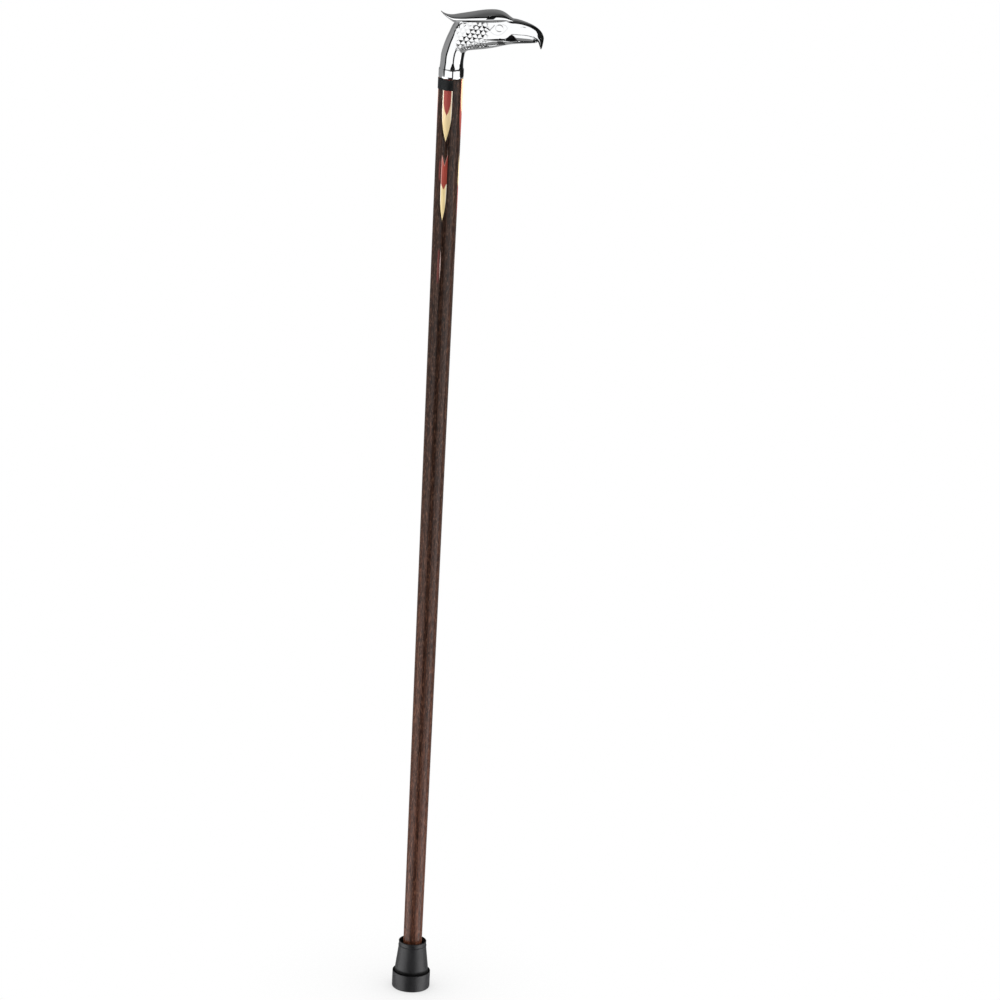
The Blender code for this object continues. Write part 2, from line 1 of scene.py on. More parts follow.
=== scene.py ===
"""Looks of a walking cane: a chrome eagle's head on an inlaid wooden shaft with a rubber tip."""

import math

import bpy
import numpy as np
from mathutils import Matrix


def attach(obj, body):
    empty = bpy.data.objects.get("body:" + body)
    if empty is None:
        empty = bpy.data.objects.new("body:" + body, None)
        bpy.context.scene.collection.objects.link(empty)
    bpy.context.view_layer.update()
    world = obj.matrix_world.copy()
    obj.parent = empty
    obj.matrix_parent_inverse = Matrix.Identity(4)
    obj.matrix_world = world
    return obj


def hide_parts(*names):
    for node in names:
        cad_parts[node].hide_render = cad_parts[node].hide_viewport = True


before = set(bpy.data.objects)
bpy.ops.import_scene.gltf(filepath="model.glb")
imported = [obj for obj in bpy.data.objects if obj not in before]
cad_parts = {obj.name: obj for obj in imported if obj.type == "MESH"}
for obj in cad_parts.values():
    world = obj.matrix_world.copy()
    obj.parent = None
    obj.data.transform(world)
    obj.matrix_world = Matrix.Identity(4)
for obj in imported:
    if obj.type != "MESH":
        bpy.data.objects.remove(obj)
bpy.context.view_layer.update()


# Camera
# The picture is taken from the beak's right-hand side with a long lens, well back from the cane and
# a little above the handle, so the upright cane leans slightly to the left in it.

CAMERA_PLACE = (0.0, -4.2844, 1.8699)
CAMERA_PAN = math.radians(0.8303)
CAMERA_TILT = math.radians(17.8938)
CAMERA_ROLL = math.radians(2.8053)
FOCAL_LENGTH_PIXELS = 4910.7
PICTURE_PIXELS = 1000
SENSOR_MM = 36.0

ahead = np.array([
    math.sin(CAMERA_PAN) * math.cos(CAMERA_TILT),
    math.cos(CAMERA_PAN) * math.cos(CAMERA_TILT),
    -math.sin(CAMERA_TILT),
])
level = np.array([math.cos(CAMERA_PAN), -math.sin(CAMERA_PAN), 0.0])
upright = np.cross(level, ahead)
right = level * math.cos(CAMERA_ROLL) + upright * math.sin(CAMERA_ROLL)
up = upright * math.cos(CAMERA_ROLL) - level * math.sin(CAMERA_ROLL)


def shown(name, data):
    """A new object in the scene."""
    made = bpy.data.objects.new(name, data)
    bpy.context.scene.collection.objects.link(made)
    return made


camera = shown("camera", bpy.data.cameras.new("camera"))
# Blender takes a matrix as a list of its columns.
camera.matrix_world = [(*right, 0.0), (*up, 0.0), (*-ahead, 0.0), (*CAMERA_PLACE, 1.0)]
camera.data.sensor_width = SENSOR_MM
camera.data.lens = FOCAL_LENGTH_PIXELS * SENSOR_MM / PICTURE_PIXELS
camera.data.clip_start = 0.1
camera.data.clip_end = 100.0
bpy.context.scene.camera = camera


# Wooden shaft
# A straight taper turned from one length of dark, open-grained hardwood, sanded and lacquered to a
# satin shine. Its tenon and the hole for the stud are hidden in the handle, its foot in the tip.

MM = 0.001
SHOULDER = 0.880
SHAFT_TOP = 11.1 * MM
SHAFT_FOOT = 8.75 * MM
FOOT_FACE = 13.8 * MM
TAPER_START = 50.6 * MM
TENON_RADIUS = 7.0 * MM
TENON_HEIGHT = 14.0 * MM
STUD_HOLE_RADIUS = 4.3 * MM
STUD_HOLE_DEPTH = 45.3 * MM
WOOD_EDGE = 0.5 * MM
SHAFT_SIDES = 128
SHAFT_STEPS = 60
CREASE = 35.0


class Wire:
    """A socket in a node tree. Operators between wires add Math nodes to that tree."""

    def __init__(self, tree, socket=None):
        self.tree = tree
        self.socket = socket

    def node(self, kind, settings=None, sockets=None, output=0):
        """Adds a node of a type. Its settings come first, then its sockets' values or links."""
        made = self.tree.nodes.new("ShaderNode" + kind)
        for name, value in (settings or {}).items():
            if name == "stops":
                while len(made.color_ramp.elements) < len(value):
                    made.color_ramp.elements.new(0.5)
                for element, (place, colour) in zip(made.color_ramp.elements, value):
                    element.position = place
                    element.color = (*colour, 1.0)
            else:
                setattr(made, name, value)
        for name, value in (sockets or {}).items():
            socket = made.inputs[name]
            if isinstance(value, Wire):
                self.tree.links.new(value.socket, socket)
            else:
                socket.default_value = (*value, 1.0) if socket.type == "RGBA" else value
        return Wire(self.tree, made.outputs[output])

    def maths(self, operation, *values, clamp=False):
        """A Math node on numbers or wires, in the order of its sockets."""
        sockets = dict(enumerate(values))
        return self.node("Math", {"operation": operation, "use_clamp": clamp}, sockets)

    def __add__(self, other):
        return self.maths("ADD", self, other)

    def __radd__(self, other):
        return self.maths("ADD", other, self)

    def __sub__(self, other):
        return self.maths("SUBTRACT", self, other)

    def __rsub__(self, other):
        return self.maths("SUBTRACT", other, self)

    def __mul__(self, other):
        return self.maths("MULTIPLY", self, other)

    def __rmul__(self, other):
        return self.maths("MULTIPLY", other, self)

    def __truediv__(self, other):
        return self.maths("DIVIDE", self, other)

    def __pow__(self, other):
        return self.maths("POWER", self, other)

    def __abs__(self):
        return self.maths("ABSOLUTE", self)

    def at_least(self, other):
        """The larger of this and another number or wire."""
        return self.maths("MAXIMUM", self, other)

    def clamped(self):
        """This, kept between 0 and 1."""
        return self.maths("ADD", self, 0.0, clamp=True)

    def parts(self):
        """The X, Y and Z of a vector."""
        return [self.node("SeparateXYZ", None, {"Vector": self}, axis) for axis in range(3)]

    def ramp(self, low, high):
        """0 at low, 1 at high, smooth in between and flat outside."""
        settings = {"interpolation_type": "SMOOTHSTEP"}
        return self.node("MapRange", settings, {"Value": self, "From Min": low, "From Max": high})

    def noise(self, place, scale, detail=2.0, roughness=0.5):
        """Smooth noise around 0.5 at a place. scale is features per metre."""
        sockets = {"Vector": place, "Scale": scale, "Detail": detail, "Roughness": roughness}
        return self.node("TexNoise", None, sockets)

    def blend(self, under, over):
        """Colours mixed by this wire: under at 0, over at 1."""
        settings = {"data_type": "RGBA", "clamp_factor": True}
        return self.node("Mix", settings, {0: self, 6: under, 7: over}, 2)

    def stretched(self, scale=(1.0, 1.0, 1.0), centre=(0.0, 0.0, 0.0)):
        """Object coordinates about a centre, scaled along each axis."""
        place = self.node("TexCoord", None, None, "Object")
        shift = tuple(-c * s for c, s in zip(centre, scale))
        return self.node("Mapping", None, {"Vector": place, "Location": shift, "Scale": scale})


def finish(name, constants):
    """A material with constant values on its Principled shader. Returns it and a wire to build on."""
    material = bpy.data.materials.new(name)
    material.use_nodes = True
    shader = material.node_tree.nodes["Principled BSDF"]
    for socket, value in constants.items():
        shader.inputs[socket].default_value = value
    return material, Wire(material.node_tree)


def feed(material, **wires):
    """Links wires to a material's shader. Names are sockets with underscores for spaces."""
    shader = material.node_tree.nodes["Principled BSDF"]
    for name, wire in wires.items():
        material.node_tree.links.new(wire.socket, shader.inputs[name.replace("_", " ")])


def put(name, points, faces, sharp=CREASE, shades=None):
    """A mesh object from arrays of points and faces, turned outwards. Edges that turn by more than
    sharp degrees stay crisp. shades is a number between 0 and 1 for each point, kept with the mesh
    for its material."""
    points = np.asarray(points, dtype=float).reshape(-1, 3)
    corners = np.concatenate([f[:, [0, i, i + 1]] for f in faces for i in range(1, f.shape[1] - 1)])
    a, b, c = (points[corners[:, i]] for i in range(3))
    if (np.cross(a, b) * c).sum() < 0:
        faces = [f[:, ::-1] for f in faces]
    mesh = bpy.data.meshes.new(name)
    mesh.from_pydata(points.tolist(), [], [face for f in faces for face in f.tolist()])
    mesh.shade_smooth()
    mesh.set_sharp_from_angle(angle=math.radians(sharp))
    if shades is not None:
        kept = mesh.attributes.new("shade", "FLOAT", "POINT")
        kept.data.foreach_set("value", np.asarray(shades, dtype=np.float32).ravel())
    return shown(name, mesh)


def tube(name, grid, sharp=CREASE, shades=None):
    """A closed body on a grid of points. Rows run along it, and columns run around it and meet.
    Each end is closed by triangles to the middle of its row."""
    rows, columns = grid.shape[:2]
    index = np.arange(rows * columns).reshape(rows, columns)
    beside = np.roll(index, -1, axis=1)
    walls = np.stack([index[:-1], beside[:-1], beside[1:], index[1:]], axis=-1).reshape(-1, 4)
    start = np.stack([beside[0], index[0], np.full(columns, rows * columns)], axis=-1)
    end = np.stack([index[-1], beside[-1], np.full(columns, rows * columns + 1)], axis=-1)
    middles = np.stack([grid[0].mean(axis=0), grid[-1].mean(axis=0)])
    points = np.concatenate([grid.reshape(-1, 3), middles])
    if shades is not None:
        shades = np.concatenate([shades.ravel(), [0.0, 0.0]])
    return put(name, points, [walls, np.concatenate([start, end])], sharp, shades)


def turned(name, profile, sides):
    """A profile of (radius, height) points carried round the Z axis in equal steps."""
    radius, height = np.array(profile).T
    turn = np.linspace(0.0, math.tau, sides, endpoint=False)
    grid = np.stack([
        radius[:, None] * np.cos(turn),
        radius[:, None] * np.sin(turn),
        np.repeat(height[:, None], sides, axis=1),
    ], axis=-1)
    return tube(name, grid)


def rounded(centre, radius, start, end, count):
    """Points of an arc in the plane of a profile, its angles in degrees from the radial way."""
    angles = np.radians(np.linspace(start, end, count))
    return [(centre[0] + radius * math.cos(a), centre[1] + radius * math.sin(a)) for a in angles]


def shaft_radius(height):
    """The shaft is parallel in the tip, then tapers straight up to the shoulder."""
    share = np.clip((height - TAPER_START) / (SHOULDER - TAPER_START), 0.0, 1.0)
    return SHAFT_FOOT + (SHAFT_TOP - SHAFT_FOOT) * share


def shaft_profile():
    """The stud's hole, the tenon, the shoulder, the straight taper, and a foot with an eased edge."""
    tenon_top = SHOULDER + TENON_HEIGHT
    heights = np.linspace(SHOULDER, TAPER_START, SHAFT_STEPS)
    side = [(float(shaft_radius(h)), float(h)) for h in heights]
    foot = rounded((SHAFT_FOOT - WOOD_EDGE, FOOT_FACE + WOOD_EDGE), WOOD_EDGE, 0, -90, 5)
    tenon = rounded((TENON_RADIUS - WOOD_EDGE, tenon_top - WOOD_EDGE), WOOD_EDGE, 90, 0, 5)
    hole = [(STUD_HOLE_RADIUS, tenon_top - STUD_HOLE_DEPTH), (STUD_HOLE_RADIUS, tenon_top)]
    return hole + tenon + [(TENON_RADIUS, SHOULDER)] + side + foot


WOOD_DARK = (0.0060, 0.0022, 0.0012)
WOOD_MIDDLE = (0.0290, 0.0112, 0.0058)
WOOD_LIGHT = (0.1150, 0.0520, 0.0310)
WOOD_FLECK = (0.2200, 0.1200, 0.0780)
WOOD_PORE = (0.006, 0.003, 0.002)
WOOD_REDDER = (1.12, 0.88, 0.80)
WOOD_DYED = (0.17, 0.030, 0.026)
LACQUER = {"Coat Weight": 0.40, "Coat Roughness": 0.19, "Coat IOR": 1.5}

# The pith's place at the height of the floor, how it leans away per metre of height, and how far it
# sways. A ring comes every 1.5 mm out from it.
PITH = (6.0 * MM, -13.0 * MM)
PITH_LEAN = (-0.021, 0.012)
PITH_SWAY = 8.0 * MM
RING_WAVE = 4200.0

# Where dye has bled into the wood beside the front inlays: left, right, top and bottom, in
# millimetres across the front and down from the shoulder.
DYED = ((-5.2, -3.2, 74.0, 92.0), (-2.7, -0.6, 157.0, 187.0))

# How far the front inlays are turned from the camera's side towards +X, in degrees.
FRONT_SET = -13.0


def wood_finish():
    """Growth rings round a pith that leans out of the shaft, fibres with a short mottled figure and
    light flecks, small dark pores, redder wood towards the foot, dye bled beside the inlays, and
    painted light: the wood is lighter towards the foot, where light from the floor falls."""
    material, wire = finish("dark_lacquered_wood", {"Specular IOR Level": 0.12, **LACQUER})
    x, y, z = wire.stretched().parts()
    sway = wire.noise(wire.stretched((1.0, 1.0, 0.25)), 26.0, 2.0)
    off_x = x - PITH[0] - z * PITH_LEAN[0] + (sway - 0.5) * PITH_SWAY
    off_y = y - PITH[1] - z * PITH_LEAN[1]
    radius = (off_x ** 2.0 + off_y ** 2.0) ** 0.5
    ripple = wire.noise(wire.stretched((1.0, 1.0, 0.08)), 260.0, 3.0)
    rings = wire.maths("SINE", radius * RING_WAVE + ripple * 3.0)
    fibre = wire.noise(wire.stretched((1.0, 1.0, 0.05)), 1150.0, 4.0, 0.62)
    mottle = wire.noise(wire.stretched((1.0, 1.0, 0.30), (0.0, 0.0, 0.1)), 640.0, 3.0, 0.6)
    streak = wire.noise(wire.stretched((1.0, 1.0, 0.014)), 300.0, 2.0)
    pores = wire.noise(wire.stretched((1.0, 1.0, 0.06)), 2300.0, 1.0).ramp(0.60, 0.68)
    # Painted light: the (0.60 - z) term lightens the wood towards the foot.
    tone = rings * 0.06 + fibre * 0.90 + streak * 0.45 + mottle * 0.75 - 0.63 + (0.60 - z) * 0.38
    stops = [(0.22, WOOD_DARK), (0.48, WOOD_MIDDLE), (0.90, WOOD_LIGHT)]
    colour = wire.node("ValToRGB", {"stops": stops}, {"Fac": tone})
    fleck = wire.noise(wire.stretched((1.0, 1.0, 0.22), (0.0, 0.0, 0.4)), 1150.0, 2.0)
    fleck = fleck.ramp(0.53, 0.68)
    colour = (fleck * (0.30 + (0.62 - z) * 0.30)).blend(colour, WOOD_FLECK)
    colour = (pores * 0.75).blend(colour, WOOD_PORE)
    multiply = {"data_type": "RGBA", "blend_type": "MULTIPLY"}
    colour = wire.node("Mix", multiply, {0: z.ramp(0.75, 0.02), 6: colour, 7: WOOD_REDDER}, 2)
    turn = math.radians(FRONT_SET)
    across = x * math.cos(turn) + y * math.sin(turn)
    dye = 0.0
    for start, end, top, bottom in DYED:
        beside = across.ramp((start - 0.5) * MM, (start + 0.5) * MM)
        beside = beside * across.ramp(end * MM, (end - 0.5) * MM)
        above = z.ramp(SHOULDER - (bottom + 3) * MM, SHOULDER - (bottom - 3) * MM)
        below = z.ramp(SHOULDER - (top - 3) * MM, SHOULDER - (top + 3) * MM)
        dye = dye + beside * above * below
    colour = (dye * y.ramp(0.002, -0.002) * 0.55).blend(colour, WOOD_DYED)
    height = fibre * 0.4 + fleck * 0.2 - pores
    bump = wire.node("Bump", None, {"Strength": 0.30, "Distance": 0.00012, "Height": height})
    rough = 0.50 + (fibre - 0.5) * 0.3
    shine = LACQUER["Coat Weight"] * (1.35 - pores * 0.9 - mottle * 0.6)
    feed(material, Base_Color=colour, Roughness=rough, Coat_Weight=shine, Normal=bump)
    return material


shaft = turned("shaft", shaft_profile(), SHAFT_SIDES)
shaft.data.materials.append(wood_finish())
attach(shaft, "cane")
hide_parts("wooden_shaft")


# Inlaid points
# Four sets of dyed veneer let in flush around the top of the shaft under the same lacquer, each a
# bullet, an arrow and a needle. Neighbouring sets have red and cream the other way round.

SET_ANGLES = (FRONT_SET, 80.0, 170.0, 260.0)
INLAY_FLOOR = SHAFT_TOP - 2.2 * MM
GLUE_LINE = 0.06 * MM

# Tops, tips and splits are depths below the shoulder. A point is the length over which an edge
# curves in to its tip, and its fullness is how long it stays wide.
BULLET_HALF_WIDTH = 4.35 * MM
BULLET_TIP = 56.3 * MM
BULLET_POINT = 27.5 * MM
BULLET_FULLNESS = 2.0
CORE_HALF_WIDTH = 3.4 * MM
CORE_TIP = 32.3 * MM
CORE_POINT = 18.5 * MM
CORE_FULLNESS = 2.9
ARROW_HALF_WIDTH = 2.7 * MM
SLIM_ARROW_HALF_WIDTH = 0.68 * ARROW_HALF_WIDTH
ARROW_TOP = 68.0 * MM
ARROW_NOTCH = 10.3 * MM
ARROW_SPLIT = 95.0 * MM
ARROW_SPLIT_DROP = 5.4 * MM
ARROW_TIP = 129.2 * MM
ARROW_POINT = 30.0 * MM
ARROW_FULLNESS = 2.6
NEEDLE_HALF_WIDTH = 0.33 * MM
NEEDLE_TOP = 155.7 * MM
NEEDLE_TIP = 185.0 * MM
NEEDLE_SIDE = 0.4 * MM
PALE_RIM = 0.65 * MM
INLAY_ROWS = 61
INLAY_COLUMNS = 33


def ease(value, low, high):
    """0 at low, 1 at high, smooth in between and flat outside."""
    share = np.clip((value - low) / (high - low), 0.0, 1.0)
    return share * share * (3 - 2 * share)


def slab(name, outside, inside, shades=None):
    """A closed body between two grids of points with the same rows and columns."""
    rows, columns = outside.shape[:2]
    index = np.arange(2 * rows * columns).reshape(2, rows, columns)

    def quads(a, b, c, d):
        return np.stack([a, b, c, d], axis=-1).reshape(-1, 4)

    out, back = index
    faces = [
        quads(out[:-1, :-1], out[:-1, 1:], out[1:, 1:], out[1:, :-1]),
        quads(back[:-1, :-1], back[1:, :-1], back[1:, 1:], back[:-1, 1:]),
        quads(out[0, 1:], out[0, :-1], back[0, :-1], back[0, 1:]),
        quads(out[-1, :-1], out[-1, 1:], back[-1, 1:], back[-1, :-1]),
        quads(out[:-1, 0], out[1:, 0], back[1:, 0], back[:-1, 0]),
        quads(out[1:, -1], out[:-1, -1], back[:-1, -1], back[1:, -1]),
    ]
    return put(name, np.stack([outside, inside]), faces, shades=shades)


def pointed(tip, point, fullness):
    """Depth of a curved point's edge at a share of its half width: full width ends at tip - point."""
    return lambda share: tip - point * (1 - (1 - share) ** (1 / fullness))


def notched(depth, drop):
    """Depth of a V at a share of the half width: its arms at depth, its corner lower by drop."""
    return lambda share: depth + drop * (1 - share)


def level_at(depth):
    """The same depth at every share of the half width."""
    return lambda share: depth + 0 * share


def let_in(name, angle, half_width, top, bottom, grow=0.0, above=0.0, rims=""):
    """A piece in the side of the shaft, between two edges that run down from the shoulder. Across
    it the places run from side to side, and down it from the top edge to the bottom edge. Its
    outside is the shaft's own surface, moved out by above, and its floor is flat. grow is the room
    for glue around it. rims names the edges with a pale line along them, kept as a shade."""
    across = np.linspace(-1.0, 1.0, INLAY_COLUMNS)[None, :]
    down = np.linspace(0.0, 1.0, INLAY_ROWS)[:, None]
    x = across * (half_width + grow)
    high = top(abs(across)) - grow
    depth = high + (bottom(abs(across)) + grow * 3 - high) * down
    x = x + 0 * depth
    out = np.sqrt(shaft_radius(SHOULDER - depth) ** 2 - x**2) + above
    turn = math.radians(angle)
    to_edge = {"left": x + half_width, "right": half_width - x, "top": (depth - high) * 0.6}
    pale = 0 * x
    for edge in rims.split():
        pale = np.maximum(pale, ease(to_edge[edge], 1.2 * PALE_RIM, 0.6 * PALE_RIM))

    def placed(y):
        return np.stack([
            x * math.cos(turn) + y * math.sin(turn),
            x * math.sin(turn) - y * math.cos(turn),
            SHOULDER - depth,
        ], axis=-1)

    return slab(name, placed(out), placed(0 * out + INLAY_FLOOR - grow), np.stack([pale, pale]))


def veneer_finish(name, light, dark, stain, rim):
    """Dyed straight-grained veneer: fine lines down it, a soft cloudiness, a stain near its top, and
    the paler rim that is kept as a shade."""
    material, wire = finish(name, {"Specular IOR Level": 0.12, **LACQUER})
    fibre = wire.noise(wire.stretched((1.0, 1.0, 0.03)), 1300.0, 3.0, 0.6)
    cloud = wire.noise(wire.stretched((1.0, 1.0, 0.3)), 260.0, 2.0)
    tone = (fibre * 1.1 + cloud * 0.8 - 0.45).clamped()
    height = wire.stretched().parts()[2]
    stained = height.ramp(SHOULDER - 52 * MM, SHOULDER - 16 * MM) * 0.55
    pale = wire.node("Attribute", {"attribute_name": "shade"}, None, "Fac").clamped()
    colour = pale.blend(stained.blend(tone.blend(dark, light), stain), rim)
    feed(material, Base_Color=colour, Roughness=0.45 + (cloud - 0.5) * 0.2)
    return material


red = veneer_finish("red_veneer", light=(0.38, 0.070, 0.048), dark=(0.23, 0.030, 0.020),
                    stain=(0.34, 0.068, 0.062), rim=(0.62, 0.30, 0.25))
cream = veneer_finish("cream_veneer", light=(0.86, 0.70, 0.38), dark=(0.66, 0.50, 0.25),
                      stain=(0.84, 0.60, 0.42), rim=(1.0, 0.90, 0.74))
pink = veneer_finish("pink_veneer", light=(0.86, 0.62, 0.56), dark=(0.62, 0.40, 0.35),
                     stain=(0.86, 0.62, 0.56), rim=(0.86, 0.62, 0.56))

bullet_edge = pointed(BULLET_TIP, BULLET_POINT, BULLET_FULLNESS)
core_edge = pointed(CORE_TIP, CORE_POINT, CORE_FULLNESS)
arrow_edge = pointed(ARROW_TIP, ARROW_POINT, ARROW_FULLNESS)
split_edge = notched(ARROW_SPLIT, ARROW_SPLIT_DROP)
needle_middle = (NEEDLE_TOP + NEEDLE_TIP) / 2
needle_reach = (NEEDLE_TIP - NEEDLE_TOP - NEEDLE_SIDE) / 2
INLAYS = {
    "bullet_surround": (BULLET_HALF_WIDTH, level_at(0.0), bullet_edge),
    "bullet_core": (CORE_HALF_WIDTH, level_at(0.0), core_edge),
    "arrow_head": (ARROW_HALF_WIDTH, notched(ARROW_TOP, ARROW_NOTCH), split_edge),
    "arrow_tip": (ARROW_HALF_WIDTH, split_edge, arrow_edge),
    "needle": (NEEDLE_HALF_WIDTH, notched(needle_middle - NEEDLE_SIDE / 2, -needle_reach),
               notched(needle_middle + NEEDLE_SIDE / 2, needle_reach)),
}
INNER_PIECES = ("bullet_core", "arrow_head")
RIMS = {"bullet_surround": "left right", "arrow_head": "left top", "arrow_tip": "left right"}
CUT_ABOVE = 1.0 * MM


def carve(body, cutters):
    """Cuts the cutters out of a body for good, and removes them."""
    for cutter in cutters:
        cut = body.modifiers.new("cut", "BOOLEAN")
        cut.operation = "DIFFERENCE"
        cut.solver = "MANIFOLD"
        cut.object = cutter
    graph = bpy.context.evaluated_depsgraph_get()
    mesh = bpy.data.meshes.new_from_object(body.evaluated_get(graph))
    while len(mesh.materials) > 1:
        mesh.materials.pop()
    body.modifiers.clear()
    body.data = mesh
    for cutter in cutters:
        bpy.data.objects.remove(cutter, do_unlink=True)


pockets = []
for number, angle in enumerate(SET_ANGLES, start=1):
    odd_set = number % 2 == 1
    arrow_width = ARROW_HALF_WIDTH if odd_set else SLIM_ARROW_HALF_WIDTH
    inner, outer = (red, cream) if odd_set else (cream, red)
    for kind, (half_width, top, bottom) in INLAYS.items():
        half_width = arrow_width if kind.startswith("arrow") else half_width
        veneer = pink if kind == "needle" else inner if kind in INNER_PIECES else outer
        rims = RIMS.get(kind, "") if odd_set else ""
        piece = let_in(f"{kind}_{number}", angle, half_width, top, bottom, rims=rims)
        piece.data.materials.append(veneer)
        if kind == "bullet_surround":
            core = let_in("core_pocket", angle, CORE_HALF_WIDTH, *INLAYS["bullet_core"][1:],
                          grow=GLUE_LINE, above=CUT_ABOVE)
            carve(piece, [core])
        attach(piece, "cane")
        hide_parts(f"inlay_{number}_{kind}")
    for half_width, top, bottom in (
        (BULLET_HALF_WIDTH, level_at(-CUT_ABOVE), bullet_edge),
        (arrow_width, notched(ARROW_TOP, ARROW_NOTCH), arrow_edge),
        INLAYS["needle"],
    ):
        pockets.append(let_in("pocket", angle, half_width, top, bottom, GLUE_LINE, above=CUT_ABOVE))
carve(shaft, pockets)


# Steel stud and disc
# A plated rod glued into the shaft and the handle, and a plated washer pressed into the bottom of the
# tip's bore. Both are hidden when the cane is whole, so they keep the CAD's own meshes.


def plated_finish():
    """Dull zinc plate: a bluish grey with cloudy patches and fine turning marks."""
    material, wire = finish("zinc_plate", {"Metallic": 1.0})
    cloud = wire.noise(wire.stretched(), 300.0, 3.0)
    lines = wire.noise(wire.stretched((0.2, 0.2, 1.0)), 3000.0, 1.0)
    colour = cloud.blend((0.46, 0.47, 0.49), (0.64, 0.64, 0.63))
    bump = wire.node("Bump", None, {"Strength": 0.2, "Distance": 0.00005, "Height": lines})
    feed(material, Base_Color=colour, Roughness=0.30 + cloud * 0.2, Normal=bump)
    return material


plated = plated_finish()
for name in ("handle_stud", "tip_disc"):
    for material_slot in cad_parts[name].material_slots:
        material_slot.material = plated


# Eagle-head handle
# One casting, chrome plated and polished: a round neck that leans into the head, a crest like a cap
# with a rolled rim, a hooked beak, and feathers and eyes cut into its sides.

HANDLE_BASE = SHOULDER + 0.3 * MM
COLLAR_SIDES = 160
BORE_SIDES = 96
NO_CREASE = 180.0
HEAD_CREASE = 50.0

# What follows is in millimetres from the centre of the collar's lower face.
SOCKET_RADIUS = 7.3
SOCKET_DEPTH = 14.0
STUD_BORE_RADIUS = 4.3
STUD_BORE_TOP = 28.3

# The collar's profile is radius and height: a flare that grows steeper from the neck down to a band
# with a rounded lower edge.
COLLAR_PROFILE = (
    (10.2, 9.9), (10.55, 9.30), (10.72, 9.05), (10.86, 8.86), (10.99, 8.68), (11.10, 8.50),
    (11.20, 8.30), (11.27, 8.10), (11.32, 7.88), (11.34, 7.65), (11.34, 7.2), (11.34, 2.4),
    (11.32, 1.9), (11.27, 1.4), (11.17, 0.9), (11.02, 0.45), (10.82, 0.13), (10.5, 0.0),
)

# A head station is under_x, under_z, top_x, top_z and half width of a section that leans with the
# neck, the share of the way up where it is widest, and the squareness below and above that.
HEAD_STATIONS = (
    (10.9, 4.0, -10.9, 4.0, 10.9, 0.5, 2.0, 2.0),
    (10.9, 7.8, -10.9, 7.8, 10.9, 0.5, 2.0, 2.0),
    (10.68, 9.2, -10.68, 9.2, 10.68, 0.5, 2.0, 2.0),
    (10.56, 11.0, -10.50, 11.0, 10.54, 0.5, 2.0, 2.0),
    (10.54, 14.5, -10.22, 14.0, 10.54, 0.5, 2.0, 2.0),
    (11.0, 19.5, -9.8, 21.0, 10.7, 0.5, 2.0, 2.0),
    (11.9, 23.6, -8.5, 27.0, 10.9, 0.5, 2.0, 2.0),
    (14.0, 25.5, -6.3, 34.0, 11.3, 0.48, 2.1, 2.2),
    (17.6, 26.2, -3.5, 41.0, 11.8, 0.45, 2.2, 2.4),
    (21.6, 26.7, 0.2, 49.0, 12.1, 0.43, 2.3, 2.7),
    (26.0, 27.2, 6.0, 55.5, 12.2, 0.42, 2.3, 3.0),
    (31.0, 28.0, 19.0, 59.5, 11.8, 0.42, 2.3, 3.2),
    (36.5, 29.0, 31.5, 60.5, 10.7, 0.44, 2.3, 3.4),
    (41.5, 30.5, 41.0, 60.0, 9.7, 0.46, 2.4, 3.6),
    (46.3, 33.6, 47.2, 58.0, 8.9, 0.48, 2.6, 3.4),
    (50.6, 37.4, 51.6, 55.9, 8.0, 0.54, 3.0, 3.2),
    (54.6, 38.4, 56.0, 55.4, 7.1, 0.58, 3.4, 3.0),
    (59.0, 38.5, 61.0, 54.3, 6.15, 0.60, 3.6, 2.9),
    (63.4, 38.5, 66.2, 52.7, 5.2, 0.62, 3.6, 2.6),
    (67.6, 38.4, 71.0, 50.8, 4.4, 0.65, 3.4, 2.0),
    (71.4, 38.0, 75.4, 48.1, 3.7, 0.67, 3.0, 1.5),
    (74.4, 37.0, 78.8, 44.6, 3.2, 0.58, 2.6, 1.2),
    (76.1, 35.3, 80.9, 39.9, 2.75, 0.46, 2.2, 1.15),
    (77.1, 32.9, 80.6, 35.2, 2.1, 0.36, 2.0, 1.2),
    (78.0, 30.4, 79.8, 31.0, 1.1, 0.30, 2.0, 1.3),
    (78.7, 29.1, 79.2, 29.2, 0.35, 0.4, 2.0, 2.0),
)

# A crest station is x, top_z, rim_z, rim height, keel_z and half width of an upright section.
CREST_STATIONS = (
    (-11.5, 60.2, 59.8, 0.3, 59.4, 0.5),
    (-9.0, 58.5, 57.4, 0.7, 56.7, 2.5),
    (-6.0, 57.2, 55.4, 1.3, 54.3, 4.5),
    (-3.0, 56.7, 53.9, 2.1, 52.2, 6.2),
    (0.0, 56.7, 52.9, 2.9, 50.3, 7.9),
    (4.0, 57.2, 52.6, 3.7, 49.6, 9.9),
    (9.0, 58.1, 52.7, 4.2, 50.8, 11.6),
    (16.0, 59.7, 53.0, 4.8, 51.4, 12.6),
    (24.0, 61.6, 53.3, 5.3, 51.8, 13.0),
    (31.0, 62.7, 53.6, 5.5, 52.0, 12.8),
    (37.5, 62.9, 53.8, 6.0, 52.2, 12.1),
    (42.5, 62.0, 54.2, 5.2, 52.7, 11.0),
    (46.8, 59.9, 54.7, 3.5, 53.4, 9.3),
    (50.6, 57.2, 54.7, 1.5, 53.6, 7.0),
    (54.2, 55.1, 54.2, 0.4, 53.4, 4.4),
)

